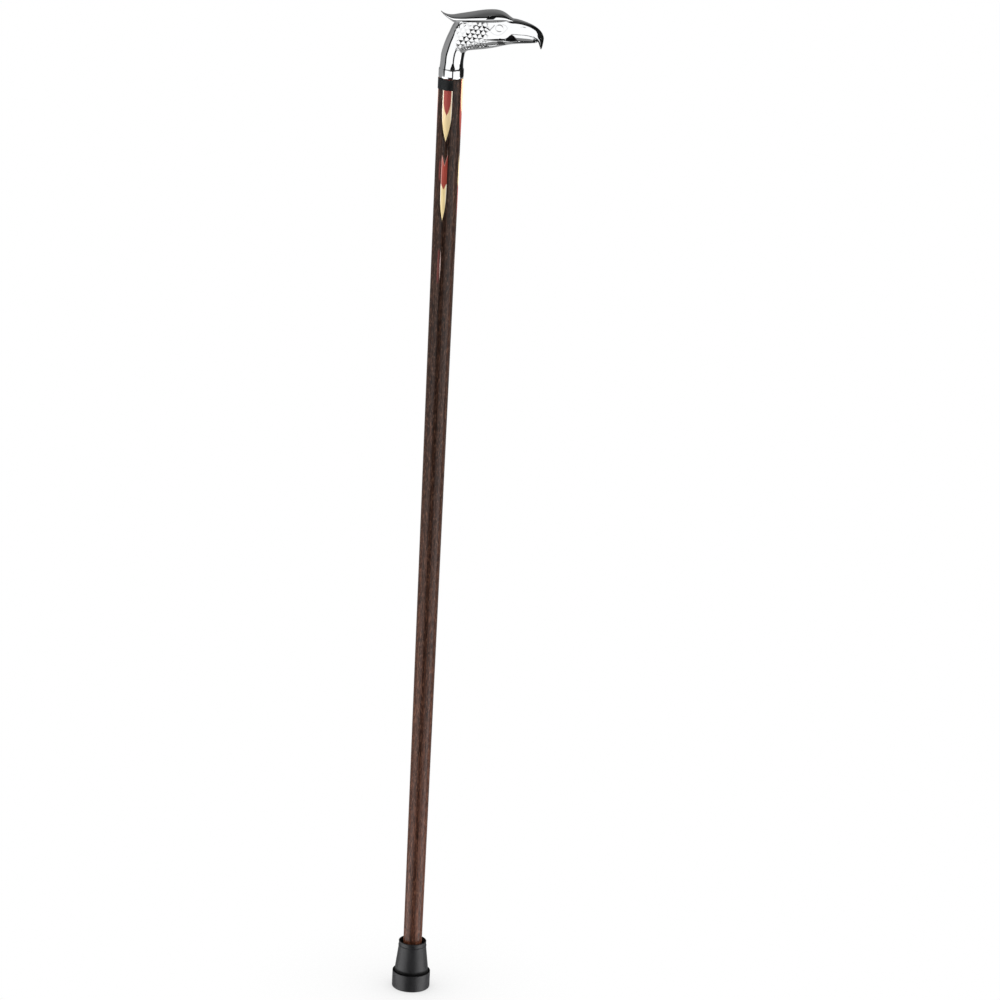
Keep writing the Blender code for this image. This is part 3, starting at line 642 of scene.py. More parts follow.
# A jaw station has the same numbers as a head station.
JAW_STATIONS = (
    (31.0, 28.4, 32.0, 37.0, 8.4, 0.70, 2.1, 2.2),
    (36.0, 28.9, 37.0, 39.0, 8.7, 0.74, 2.0, 2.2),
    (41.5, 30.1, 42.5, 41.0, 8.5, 0.80, 1.9, 2.2),
    (46.3, 31.3, 47.3, 42.9, 8.0, 0.85, 1.8, 2.2),
    (51.5, 32.4, 52.5, 44.2, 7.25, 0.85, 1.7, 2.2),
    (58.0, 33.2, 58.6, 43.8, 5.9, 0.85, 1.7, 2.2),
    (64.0, 33.7, 64.4, 43.1, 4.75, 0.85, 1.7, 2.2),
    (69.0, 34.1, 69.6, 42.0, 3.85, 0.83, 1.7, 2.2),
    (73.0, 34.6, 73.8, 40.0, 2.9, 0.78, 1.8, 2.2),
    (75.2, 35.2, 76.2, 37.2, 1.4, 0.7, 2.0, 2.2),
)

# The head's rings are close together where the feathers and the eye are, and wider apart on the neck
# and the beak: shares of the rings, and of the way along the head.
HEAD_RINGS = 344
HEAD_COLUMNS = 216
RING_SHARES = (0.0, 0.14, 0.82, 1.0)
WAY_SHARES = (0.0, 0.20, 0.67, 1.0)
CREST_ROWS = 270
JAW_RINGS = 120
JAW_COLUMNS = 72


def along(stations, shares):
    """Rows at shares of the way along a smooth curve through the stations. Each span is a cubic
    with the slopes of the chords beside it, over a step that is the root of the span's length."""
    rows = np.array(stations, dtype=float)
    ends = np.vstack([2 * rows[0] - rows[1], rows, 2 * rows[-1] - rows[-2]])
    steps = np.sqrt(np.linalg.norm(np.diff(rows[:, :4], axis=0), axis=1))
    knots = np.concatenate([[0.0], np.cumsum(steps)])
    wide = np.concatenate([[knots[0] - steps[0]], knots, [knots[-1] + steps[-1]]])
    slopes = (ends[2:] - ends[:-2]) / (wide[2:] - wide[:-2])[:, None]
    at = knots[-1] * np.asarray(shares)
    piece = np.clip(np.searchsorted(knots, at, side="right") - 1, 0, len(rows) - 2)
    length = (knots[piece + 1] - knots[piece])[:, None]
    u = (at - knots[piece])[:, None] / length
    start = (2 * u**3 - 3 * u**2 + 1) * rows[piece] + (u**3 - 2 * u**2 + u) * length * slopes[piece]
    end = (3 * u**2 - 2 * u**3) * rows[piece + 1] + (u**3 - u**2) * length * slopes[piece + 1]
    return start + end


def evened(grid):
    """The same rings of points with each ring's points moved along it to equal distances, but with
    up to three times as many on its upright sides as on its level top and bottom."""
    closed = np.concatenate([grid, grid[:, :1]], axis=1)
    steps = np.linalg.norm(np.diff(closed, axis=1), axis=2)
    level = abs(np.diff(closed[:, :, 1], axis=1)) / steps
    weights = steps * (1.0 - 0.67 * level**2)
    walked = np.concatenate([np.zeros((len(grid), 1)), np.cumsum(weights, axis=1)], axis=1)
    rings = []
    for ring, way in zip(closed, walked):
        places = np.linspace(0.0, way[-1], grid.shape[1], endpoint=False)
        rings.append(np.stack([np.interp(places, way, ring[:, axis]) for axis in range(3)], axis=-1))
    return np.stack(rings)


def leaning(rows, sides):
    """Sections between an under point and a top point. Each side is widest at a share of the way
    up, and the parts below and above are superellipse quarters of their own squareness."""
    turn = np.linspace(0.0, math.tau, 4 * sides, endpoint=False)[None, :]
    under, top = rows[:, None, 0:2], rows[:, None, 2:4]
    half_width, widest, low, high = (rows[:, column][:, None] for column in (4, 5, 6, 7))
    square = np.where(np.cos(turn) > 0, low, high)
    reach = (abs(np.cos(turn)) ** square + abs(np.sin(turn)) ** square) ** (-1 / square)
    part = np.where(np.cos(turn) > 0, widest, 1 - widest)
    share = widest - np.cos(turn) * reach * part
    side = under + (top - under) * share[:, :, None]
    across = half_width * np.sin(turn) * reach
    return evened(np.stack([side[:, :, 0], across, side[:, :, 1]], axis=2))[:, ::4]


def distance(x, z, line):
    """Distance of places in the side view from a line through a few points."""
    nearest = np.full(x.shape, np.inf)
    for (ax, az), (bx, bz) in zip(line, line[1:]):
        share = ((x - ax) * (bx - ax) + (z - az) * (bz - az)) / ((bx - ax) ** 2 + (bz - az) ** 2)
        share = np.clip(share, 0, 1)
        away = np.hypot(x - ax - share * (bx - ax), z - az - share * (bz - az))
        nearest = np.minimum(nearest, away)
    return nearest


# Feathers are rows of scales whose tips point backwards and down at a slope in degrees: the spacing
# of the rows, then the width, the length and the soft edge of a scale. They are cut deepest, and
# their painted shade is darkest, in a band from the back of the neck up to the cheek, which is wider
# at its upper end.
FEATHER_SLOPE = 24.0
LARGE_FEATHERS = (4.0, 4.2, 7.6, 0.42)
SMALL_FEATHERS = (2.4, 2.6, 4.7, 0.26)
FEATHER_ROUNDNESS = 1.7
BAND_START = (2.0, 30.0)
BAND_END = (25.5, 47.0)
BAND_REACH = 2.2
BAND_SPREAD = 5.6


def scales(x, z, sizes, blot):
    """Rows of overlapping pointed scales like shingles. A scale is a ramp from 0 at its root up to 1
    at its tip, inside a superellipse. Gives the height of the highest scale, and how close the foot
    of a scale's edge is, within a blot's width, which is painted dark as shade."""
    pitch, width, length, edge = sizes
    turn = math.radians(FEATHER_SLOPE)
    down = -x * math.cos(turn) - z * math.sin(turn)
    across = x * math.sin(turn) - z * math.cos(turn)
    drift = 0.07 * width * np.sin(across * 1.9)
    across = across + 0.09 * width * np.sin(down * 1.1)
    down = down + drift
    first = np.ceil(down / pitch)
    height = np.zeros_like(x)
    found = []
    for step in range(int(length / pitch) + 2):
        row = first + step
        offset = (row % 2) / 2
        middle = (np.round(across / width - offset) + offset) * width
        for side in (-1, 0, 1):
            aside = abs(across - middle - side * width)
            beyond = np.clip(down - (row * pitch - 0.85 * width), 0, None) / FEATHER_ROUNDNESS
            out = aside**FEATHER_ROUNDNESS + beyond**FEATHER_ROUNDNESS
            out = out ** (1 / FEATHER_ROUNDNESS) - width * 0.455
            ramp = np.clip(1 - (row * pitch - down) / length, 0, 1)
            found.append((out, ramp))
            height = np.maximum(height, ramp * ease(out, edge, -edge * 0.4))
    foot = np.zeros_like(x)
    for out, ramp in found:
        near = ease(blot - abs(out - 0.3 * edge - 0.5 * blot), 0.0, 0.35 * blot)
        foot = np.maximum(foot, near * ease(ramp - height, 0.02, 0.2))
    return height, foot


EYE_CENTRE = (40.9, 48.6)
EYE_RADIUS = 3.3
EYE_LINE = 0.4
PUPIL_RADIUS = 0.9

# Lines cut into the sides, each with its points, half width, depth and darkness, the darkness being
# painted shade for the dark reflections in the cut: the mouth, two strokes behind the eye, the line
# from under the eye up to the brow, and the nostril.
CUT_LINES = (
    (((52.8, 42.9), (58.0, 42.4), (63.1, 42.1), (69.4, 40.8), (73.6, 38.3)), 0.35, 0.20, 0.30),
    (((29.8, 48.6), (30.8, 48.0), (31.8, 47.2), (32.6, 46.6)), 0.55, 0.4, 1.0),
    (((32.6, 46.8), (33.8, 48.2), (35.2, 49.6), (36.4, 51.2)), 0.45, 0.3, 0.7),
    (((33.4, 45.2), (36.4, 43.0), (40.9, 42.4), (44.8, 44.6), (48.2, 48.6)), 0.4, 0.16, 0.22),
    (((48.2, 48.6), (46.6, 50.8), (43.6, 52.2)), 0.4, 0.16, 0.22),
    (((60.2, 49.3), (61.2, 49.9), (63.0, 50.0), (64.5, 49.4)), 0.45, 0.3, 0.2),
)

# Hollows, each with its outline and depth, painted dark inside as painted shade: the open corner of
# the mouth, and the slot between the cheek and the lower beak.
PITS = (
    (((45.2, 37.0), (50.2, 41.2), (52.6, 43.3), (54.4, 40.6), (58.4, 36.6), (52.0, 35.4)), 1.0),
    (((28.0, 36.9), (39.0, 37.1), (47.0, 36.6), (47.0, 38.4), (39.0, 38.5), (28.0, 37.7)), 0.8),
)


def inside(x, z, outline):
    """Distance of places in the side view into a convex outline: below 0 outside it."""
    middle = np.mean(outline, axis=0)
    deep = np.full(x.shape, np.inf)
    for (ax, az), (bx, bz) in zip(outline, outline[1:] + outline[:1]):
        out = np.array([bz - az, ax - bx]) / math.hypot(bx - ax, bz - az)
        out = out * np.sign(np.dot(out, middle - (ax, az)))
        deep = np.minimum(deep, (x - ax) * out[0] + (z - az) * out[1])
    return deep


def carve_field(x, z):
    """Depth of everything cut into the side of the head at places in the side view, and the shade
    painted into the cuts in place of their dark reflections.
    """
    depth = np.zeros_like(x)
    shade = np.zeros_like(x)
    for points, half_width, deep, dark in CUT_LINES:
        line = along(points, np.linspace(0, 1, 6 * len(points)))
        close = np.exp(-((distance(x, z, line) / half_width) ** 2))
        depth = np.maximum(depth, deep * close)
        # Painted shade: each cut line is painted dark by its darkness.
        shade = np.maximum(shade, dark * ease(close, 0.25, 0.8))
    for outline, deep in PITS:
        within = inside(x, z, outline)
        depth = np.maximum(depth, deep * ease(within, -0.5, 0.9))
        # Painted shade: the hollows are painted dark inside.
        shade = np.maximum(shade, ease(within, -0.45, 0.0))
    away = np.hypot(x - EYE_CENTRE[0], z - EYE_CENTRE[1])
    ring = np.exp(-(((away - EYE_RADIUS) / EYE_LINE) ** 2))
    pupil = np.exp(-((away / PUPIL_RADIUS) ** 2))
    dome = np.clip(1 - (away / (EYE_RADIUS + EYE_LINE)) ** 2, 0, None)
    depth = depth + 0.22 * ring + 0.30 * pupil - 0.5 * dome
    # Painted shade: a grey line is painted round the eye.
    shade = np.maximum(shade, 0.28 * ease(ring, 0.3, 0.8))
    # Feathers cover the cheek and the side of the neck, and are small along the throat.
    field = ease(x, 33.0, 28.0) * ease(x + 0.10 * (z - 30), 1.5, 6.0)
    field = field * ease(z, 54.6, 52.6) * ease(z, 25.6, 28.0)
    small = ease(z - (29.2 + (x - 2.0) * 0.34), 0.9, -0.9)
    (start_x, start_z), (run_x, run_z) = BAND_START, np.subtract(BAND_END, BAND_START)
    share = ((x - start_x) * run_x + (z - start_z) * run_z) / (run_x**2 + run_z**2)
    reach = BAND_REACH + BAND_SPREAD * np.clip(share, 0, 1)
    strong = ease(distance(x, z, (BAND_START, BAND_END)) / reach, 1.2, 0.8) * (1 - small)
    large_height, large_foot_painted_shade = scales(x, z, LARGE_FEATHERS, 1.45 + 0.5 * strong)
    small_height, small_foot_painted_shade = scales(x, z, SMALL_FEATHERS, 0.35)
    large_relief = (1 - large_height) * (0.42 + 0.58 * strong)
    depth = depth + field * (large_relief * (1 - small) + (1 - small_height) * small * 0.38)
    # Painted shade: the feet of the scales' edges are painted dark, most in the band, standing in for
    # the dark reflections in the feathers.
    foot = field * (large_foot_painted_shade * (0.16 + 0.84 * strong) + small_foot_painted_shade * small * 0.45)
    return depth, np.maximum(shade, foot)


def carved(grid):
    """A part's grid with the side carving cut into it along its normals, and the painted shade of the
    cuts.
    """
    ring = np.roll(grid, -1, axis=1) - np.roll(grid, 1, axis=1)
    run = np.gradient(grid, axis=0)
    normal = np.cross(run, ring)
    normal /= np.linalg.norm(normal, axis=2, keepdims=True) + 1e-12
    if (normal[:, :, 1] * grid[:, :, 1]).sum() < 0:
        normal = -normal
    depth, shade = carve_field(grid[:, :, 0], grid[:, :, 2])
    side = ease(abs(normal[:, :, 1]), 0.15, 0.5)
    return grid - normal * (depth * side)[:, :, None], shade * side


# The crest's section, out in shares of the half width and up in shares of the rim's height. The
# crown above it is part of an ellipse that starts at an angle in degrees.
CREST_CREASE = 0.90
CROWN_FROM = 16.0
CROWN_STEPS = 26
CREASE_PROFILE = ((0.91, 0.985), (0.93, 0.96), (0.955, 0.92), (0.975, 0.87), (0.985, 0.82))
RIM_PROFILE = (
    (0.990, 0.78), (0.995, 0.73), (0.998, 0.67), (1.0, 0.61), (1.0, 0.55), (0.996, 0.49),
    (0.988, 0.43), (0.977, 0.37), (0.962, 0.30), (0.945, 0.22), (0.925, 0.13), (0.900, 0.04),
    (0.880, 0.0),
)
KEEL_PROFILE = ((0.67, 0.25), (0.34, 0.65))
# The notch over the brow, dented a little and painted dark as painted shade.
CREST_NOTCH = ((30.6, 59.6), (39.0, 60.0), (35.4, 56.7), (28.4, 56.3))


def crest_grid():
    """Upright sections: an elliptic crown, a crease, a rolled rim, and a keel under it. Also gives
    the shades: painted shade that darkens the crease and the notch over the brow in place of dark
    reflections."""
    x, top, rim, rise, keel, half = along(CREST_STATIONS, np.linspace(0, 1, CREST_ROWS)).T
    crown = top - rim - rise
    lowest = math.radians(CROWN_FROM)
    near_side = [
        (half * CREST_CREASE * math.cos(a) / math.cos(lowest),
         rim + rise + crown * (math.sin(a) - math.sin(lowest)) / (1 - math.sin(lowest)), 0.0)
        for a in np.radians(np.linspace(90, CROWN_FROM, CROWN_STEPS))
    ]
    # Painted shade: the crease is painted dark.
    near_side += [(half * out, rim + rise * up, 1.0) for out, up in CREASE_PROFILE]
    near_side += [(half * out, rim + rise * up, 0.0) for out, up in RIM_PROFILE]
    near_side += [(half * out, rim + (keel - rim) * down, 0.0) for out, down in KEEL_PROFILE]
    near_side += [(0 * half, keel, 0.0)]
    far_side = [(-y, z, shade) for y, z, shade in reversed(near_side[1:-1])]
    section = near_side + far_side
    grid = np.stack([np.stack([x, y + 0 * x, z + 0 * x], axis=1) for y, z, shade in section], axis=1)
    shades = np.stack([0 * x + shade for y, z, shade in section], axis=1)
    # Painted shade: the notch over the brow is painted dark on the rim.
    within = inside(grid[:, :, 0], grid[:, :, 2], CREST_NOTCH)
    rim_side = ease(abs(grid[:, :, 1]), 0.86 * half[:, None], 0.93 * half[:, None])
    shades = np.maximum(shades, ease(within, -0.2, 0.3) * rim_side)
    grid[:, :, 1] *= 1 - 0.03 * ease(within, -0.3, 0.8)
    return grid, shades


def lifted(grid):
    """Millimetres from the collar's lower face made metres in the frame."""
    return grid * MM + np.array([0.0, 0.0, HANDLE_BASE])


def chrome_finish():
    """Polished plate: bright, with the faintest haze and hairline scratches, and painted shade: near
    black painted into the cut lines, hollows, feather edges, crest crease and brow notch, standing in
    for dark reflections.
    """
    material, wire = finish("polished_chrome", {"Metallic": 1.0})
    haze = wire.noise(wire.stretched(centre=(0, 0, HANDLE_BASE)), 90.0, 3.0)
    hairs = wire.noise(wire.stretched((1.0, 0.3, 0.12), (0, 0, HANDLE_BASE)), 2400.0, 2.0)
    shade = wire.node("Attribute", {"attribute_name": "shade"}, None, "Fac").clamped()
    colour = haze.blend((0.86, 0.87, 0.88), (0.93, 0.935, 0.94))
    # Painted shade: the shade attribute turns the cuts, hollows and creases near black, standing in
    # for dark reflections.
    colour = shade.blend(colour, (0.012, 0.012, 0.013))
    bump = wire.node("Bump", None, {"Strength": 0.05, "Distance": 0.00003, "Height": hairs})
    feed(material, Base_Color=colour, Roughness=0.025 + haze * 0.05 + shade * 0.3, Normal=bump)
    return material


head_way = np.interp(np.linspace(0, 1, HEAD_RINGS), RING_SHARES, WAY_SHARES)
jaw_way = np.linspace(0, 1, JAW_RINGS)
head_points, head_shades = carved(leaning(along(HEAD_STATIONS, head_way), HEAD_COLUMNS))
crest_points, crest_shades = crest_grid()
jaw_points, jaw_shades = carved(leaning(along(JAW_STATIONS, jaw_way), JAW_COLUMNS))
handle = tube("eagle_head", lifted(head_points), NO_CREASE, head_shades)
handle.data.materials.append(chrome_finish())
crest = tube("crest", lifted(crest_points), shades=crest_shades)
jaw = tube("jaw", lifted(jaw_points), NO_CREASE, jaw_shades)
collar_profile = [(r * MM, z * MM + HANDLE_BASE) for r, z in COLLAR_PROFILE]
collar = turned("collar", collar_profile, COLLAR_SIDES)
for part in (crest, jaw, collar):
    join = handle.modifiers.new("join", "BOOLEAN")
    join.operation = "UNION"
    join.solver = "MANIFOLD"
    join.object = part
bore = [(STUD_BORE_RADIUS, STUD_BORE_TOP), (STUD_BORE_RADIUS, SOCKET_DEPTH),
        (SOCKET_RADIUS, SOCKET_DEPTH), (SOCKET_RADIUS, -1.0)]
socket = turned("socket", [(r * MM, z * MM + HANDLE_BASE) for r, z in bore], BORE_SIDES)
carve(handle, [socket])
handle.data.set_sharp_from_angle(angle=math.radians(HEAD_CREASE))
for part in (crest, jaw, collar):
    bpy.data.objects.remove(part, do_unlink=True)

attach(handle, "cane")
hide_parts("eagle_head_handle")


# Bare label
# A strip of satin black film stuck around the top of the shaft, with nothing printed on it.

LABEL_HEIGHT = 9.6 * MM
LABEL_ROWS = 13
LABEL_TURN = np.radians(np.linspace(-190.0, -80.0, 49))
LABEL_OUTSIDE = 0.475 * MM
LABEL_INSIDE = 0.05 * MM


def label_surface(out):
    """An arc around the shaft's axis carried down the label's height, at one distance out."""
    height = np.linspace(SHOULDER, SHOULDER - LABEL_HEIGHT, LABEL_ROWS)[:, None]
    radius = SHAFT_TOP + out
    x = radius * np.cos(LABEL_TURN) + 0 * height
    y = radius * np.sin(LABEL_TURN) + 0 * height
    return np.stack([x, y, height + 0 * LABEL_TURN], axis=-1)


def film_finish():
    """Black vinyl with a fine orange-peel and a few dull scuffs."""
    material, wire = finish("black_film", {"Specular IOR Level": 0.25})
    scuff = wire.noise(wire.stretched(), 420.0, 3.0)
    peel = wire.noise(wire.stretched(), 2600.0, 1.0)
    colour = scuff.blend((0.003, 0.004, 0.004), (0.009, 0.010, 0.011))
    bump = wire.node("Bump", None, {"Strength": 0.2, "Distance": 0.00004, "Height": peel})
    feed(material, Base_Color=colour, Roughness=0.30 + scuff * 0.25, Normal=bump)
    return material


label = slab("label", label_surface(LABEL_OUTSIDE), label_surface(LABEL_INSIDE))
label.data.materials.append(film_finish())
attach(label, "cane")
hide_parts("bare_label")


# Rubber tip
# Moulded dark grey rubber, pushed onto the foot of the shaft: a thin lip round an open mouth, a
# flared sleeve, a groove over the foot band, and ring grooves in the sole.

TIP_HEIGHT = 46.6 * MM
TIP_BORE = 9.05 * MM
TIP_BORE_FLOOR = 12.0 * MM
TIP_MOUTH = 13.0 * MM
TIP_LIP = 0.6 * MM
TIP_FUNNEL = 4.2 * MM
TIP_THROAT = 12.85 * MM
TIP_CONE_TOP = 39.4 * MM
TIP_CONE_FOOT = 15.9 * MM
TIP_EDGE = 17.8 * MM
TIP_BAND = 16.3 * MM
TIP_GROOVE = 1.0 * MM
SOLE_ROUND = 1.2 * MM
SOLE_CENTRE = 5.2 * MM
SOLE_PITCH = 3.3 * MM
SOLE_GROOVE = 1.6 * MM
SOLE_DEPTH = 1.4 * MM
SOLE_RINGS = 2
TIP_SIDES = 160
BEAD_HEIGHT = TIP_HEIGHT - 4.6 * MM
EDGE_ROUND = 0.45 * MM


def tip_profile():
    """A blind bore that opens into a funnel, a thin lip, a fine bead, a flared sleeve, a groove, a
    foot band and a sole with ring grooves."""
    points = [(TIP_BORE, TIP_BORE_FLOOR), (TIP_BORE, TIP_HEIGHT - TIP_FUNNEL)]
    reach = TIP_MOUTH - 2 * TIP_LIP - TIP_BORE
    for share in np.linspace(0.1, 0.9, 8):
        height = TIP_HEIGHT - TIP_FUNNEL * (1 - share**1.3) - 0.4 * TIP_LIP
        points.append((TIP_BORE + reach * share**0.8, height))
    points += rounded((TIP_MOUTH - TIP_LIP, TIP_HEIGHT - TIP_LIP), TIP_LIP, 150, -10, 10)
    points += [
        (TIP_MOUTH - 0.12 * MM, TIP_HEIGHT - 2.0 * MM),
        (TIP_THROAT, TIP_HEIGHT - 3.4 * MM),
        (TIP_THROAT, TIP_HEIGHT - 4.0 * MM),
    ]
    points += rounded((TIP_THROAT, BEAD_HEIGHT), EDGE_ROUND, 70, -50, 7)
    start = np.array([TIP_THROAT + 0.35 * MM, TIP_CONE_TOP])
    foot = np.array([TIP_CONE_FOOT, TIP_BAND + 0.6 * MM])
    points += [tuple(start + (foot - start) * share) for share in np.linspace(0.0, 1.0, 12)]
    points += [
        (TIP_CONE_FOOT - 0.1 * MM, TIP_BAND - 0.4 * TIP_GROOVE),
        (TIP_CONE_FOOT + 0.2 * MM, TIP_BAND - TIP_GROOVE),
        (TIP_CONE_FOOT + 0.7 * MM, TIP_BAND - TIP_GROOVE),
        (TIP_EDGE - 0.95 * MM, TIP_BAND - 0.2 * MM),
    ]
    points += rounded((TIP_EDGE - EDGE_ROUND, TIP_BAND - EDGE_ROUND), EDGE_ROUND, 110, 0, 7)
    points += rounded((TIP_EDGE - SOLE_ROUND, SOLE_ROUND), SOLE_ROUND, 0, -90, 8)
    for ring in reversed(range(SOLE_RINGS)):
        inner = SOLE_CENTRE + ring * SOLE_PITCH
        outer = inner + SOLE_GROOVE
        points += [(outer, 0.0), (outer, SOLE_DEPTH), (inner, SOLE_DEPTH), (inner, 0.0)]
    return points


def rubber_finish():
    """Moulded rubber: dark grey with a dusty bloom, a pebbled skin that is coarsest on the foot band,
    and painted shade, near black, in the mouth and in the groove over the band."""
    material, wire = finish("moulded_rubber", {"Specular IOR Level": 0.5})
    place = wire.stretched()
    x, y, z = place.parts()
    radius = (x ** 2.0 + y ** 2.0) ** 0.5
    bloom = wire.noise(wire.stretched((1.0, 1.0, 0.6)), 95.0, 3.0)
    pebble = wire.noise(place, 1500.0, 2.0)
    grain = wire.noise(place, 620.0, 3.0)
    tone = (bloom * 0.8 + grain * 0.7 - 0.25).clamped()
    colour = tone.blend((0.007, 0.007, 0.008), (0.026, 0.026, 0.028))
    # Painted shade: the groove over the band and the inside of the mouth are painted near black.
    groove = z.ramp(TIP_BAND + 4.2 * MM, TIP_BAND + 1.4 * MM)
    groove = groove * radius.ramp(TIP_EDGE - 0.1 * MM, TIP_EDGE - 0.5 * MM)
    groove = groove * z.ramp(TIP_BAND - 1.6 * MM, TIP_BAND - 0.8 * MM)
    mouth = radius.ramp(TIP_MOUTH - 0.3 * MM, TIP_MOUTH - 0.9 * MM)
    mouth = mouth * z.ramp(TIP_HEIGHT - 9.0 * MM, TIP_HEIGHT - 7.0 * MM)
    groove_and_mouth_shade = groove.at_least(mouth)
    colour = groove_and_mouth_shade.blend(colour, (0.0012, 0.0012, 0.0012))
    height = pebble + grain * z.ramp(TIP_BAND, TIP_BAND - 2 * MM) * 1.5
    bump = wire.node("Bump", None, {"Strength": 0.45, "Distance": 0.00010, "Height": height})
    feed(material, Base_Color=colour, Roughness=0.36 + bloom * 0.16 + groove_and_mouth_shade * 0.5, Normal=bump)
    return material


tip = turned("tip", tip_profile(), TIP_SIDES)
tip.data.materials.append(rubber_finish())
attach(tip, "tip")
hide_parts("rubber_tip")


# Floor and surroundings
# A plain white floor with white all around it. Polished metal sees that white with the dark gaps of
# a photographer's flags in it.

FLOOR_SIZE = 30.0
SHADOW_REACH = 0.15
SHADOW_DEPTH = 0.5
WHITE = (1.0, 1.0, 1.0)
PAPER = (0.92, 0.92, 0.92)
BLACK = (0.0, 0.0, 0.0)
FILL_LIGHT = 0.28
FLAG_GLOW = 0.012


def wired(owner, build):
    """Gives a material or the world the surface that a function of a wire on its tree builds."""
    owner.use_nodes = True
    tree = owner.node_tree
    tree.nodes.clear()
    surface = build(Wire(tree))
    kind = "World" if isinstance(owner, bpy.types.World) else "Material"
    output = tree.nodes.new("ShaderNodeOutput" + kind)
    tree.links.new(surface.socket, output.inputs["Surface"])
    return owner


def white_paper(wire):
    """Matte white paper for the light. The camera sees through it to the white behind, dimmed where
    the cane keeps the light off it, so that a tip pulled off downwards stays in view."""
    ray = wire.node("LightPath", None, None, "Is Camera Ray")
    lit = wire.node("AmbientOcclusion", {"samples": 4}, {"Distance": SHADOW_REACH}, "AO")
    clear = wire.node("BsdfTransparent", None, {"Color": WHITE})
    dark = wire.node("BsdfTransparent", None, {"Color": BLACK})
    dimmed = wire.node("MixShader", None, {0: (1.0 - lit) * SHADOW_DEPTH, 1: clear, 2: dark})
    paper = wire.node("BsdfDiffuse", None, {"Color": PAPER})
    return wire.node("MixShader", None, {0: ray, 1: paper, 2: dimmed})


half = FLOOR_SIZE / 2
floor_corners = [(-half, -half, 0), (half, -half, 0), (half, half, 0), (-half, half, 0)]
floor_mesh = bpy.data.meshes.new("floor")
floor_mesh.from_pydata(floor_corners, [], [(0, 1, 2, 3)])
floor_mesh.materials.append(wired(bpy.data.materials.new("white_floor"), white_paper))
floor = shown("floor", floor_mesh)
floor.visible_glossy = False
floor.visible_shadow = False


def band(angle, low, high, blur=2.0):
    """1 between two angles and 0 outside, with soft edges."""
    return angle.ramp(low - blur, low + blur) * (1.0 - angle.ramp(high - blur, high + blur))


def panel(turn, rise, start, end, top, corner):
    """1 on a soft white panel between two turns and below a rise, with rounded upper corners."""
    aside = (abs(turn - (start + end) / 2) - ((end - start) / 2 - corner)).at_least(0.0)
    over = (rise - (top - corner)).at_least(0.0)
    return ((aside ** 2.0 + over ** 2.0) ** 0.5).ramp(corner + 1.5, corner - 1.5)


def surroundings(wire):
    """White for the camera and a plain fill for the light. Metal sees white with dark flags, placed
    by degrees turned from the camera, towards +X, and degrees risen from level."""
    x, y, z = wire.node("TexCoord", None, None, "Generated").parts()
    turn = wire.maths("ARCTAN2", x, 0.0 - y) * math.degrees(1.0)
    rise = wire.maths("ARCSINE", z) * math.degrees(1.0)
    aside = abs(turn)
    behind = aside.ramp(85.0, 100.0)
    back = aside.ramp(125.0, 145.0)
    over = (rise + 10.0).at_least(0.0)
    # Level with the cane: white before and behind it, grey on its left, and bright low at its sides.
    panels = panel(turn, rise, -59.5, 84.0, 34.0, 16.0) * (turn + over * 1.2).ramp(86.0, 82.0)
    panels = panels.at_least(band(turn, 150.0, 190.0))
    grey = band(turn, -158.0, -76.0) * 0.29
    back_white = band(turn, -200.0, -158.0) * 0.3
    bright = band(aside, 52.0, 92.0, 10.0) * rise.ramp(-13.0, -22.0) * 1.7
    sides = panels * (1.0 - behind * 0.65) * 1.10 + FLAG_GLOW + grey + back_white + bright
    # Above it: dark, with a little light at the back and overhead.
    above = back.at_least(rise.ramp(48.0, 64.0)) * 0.085 + back * rise.ramp(70.0, 8.0) * 0.10
    above = (above + FLAG_GLOW) * (1.0 - band(turn, 45.0, 150.0, 15.0) * 0.5)
    # Below it: grey, and dark straight down.
    below = 0.24 - rise.ramp(-64.0, -72.0) * 0.225
    below = below * (1.0 - behind) + behind * (0.02 + rise.ramp(-78.0, -70.0) * 0.28)
    high = rise.ramp(33.0, 36.0) * (1.0 - back) + rise.ramp(-4.0, 4.0) * back
    low = rise.ramp(-41.0, -46.0)
    light = sides * (1.0 - high) * (1.0 - low) + above * high + below * low
    glossy = wire.node("LightPath", None, None, "Is Glossy Ray")
    camera_ray = wire.node("LightPath", None, None, "Is Camera Ray")
    fill = wire.node("Background", None, {"Color": WHITE, "Strength": FILL_LIGHT})
    studio = wire.node("Background", None, {"Color": WHITE, "Strength": light})
    plain = wire.node("Background", None, {"Color": WHITE, "Strength": 1.0})
    mixed = wire.node("MixShader", None, {0: glossy, 1: fill, 2: studio})
    return wire.node("MixShader", None, {0: camera_ray, 1: mixed, 2: plain})


bpy.context.scene.world = wired(bpy.data.worlds.new("surroundings"), surroundings)


# Cards
# Flat cards that only polished surfaces see, as a photographer sets them around chrome. They stand
# upright, and their outlines are across and up, in millimetres from a place on the card.

LINE_CARD = (
    (-2.6, -60.0), (2.6, -60.0), (2.8, -12.0), (3.6, -2.0), (4.0, 4.0), (3.0, 8.0), (1.4, 11.0),
    (-1.4, 11.0), (-3.0, 8.0), (-4.0, 4.0), (-3.6, -2.0), (-2.8, -12.0),
)
FAN_CARD = (
    (-7.0, -2.2), (7.0, -2.2), (4.8, -1.0), (3.3, 0.5), (2.2, 2.0), (1.5, 4.0),
    (-1.5, 4.0), (-2.2, 2.0), (-3.3, 0.5), (-4.8, -1.0),
)
SHAFT_CARD = (
    (-15.0, -60.0), (20.0, -60.0), (20.0, 40.0), (12.0, 60.0), (12.0, 874.5), (-12.0, 874.5),
    (-12.0, 60.0), (-15.0, 40.0),
)
HOOK_CARD = ((-0.6, -24.0), (18.0, -24.0), (18.0, 14.0), (6.0, 14.0), (-0.2, -3.0))
INNER_CARD = ((-9.0, -24.0), (3.0, -24.0), (3.0, 0.0), (-2.5, 3.6), (-9.0, 3.6))
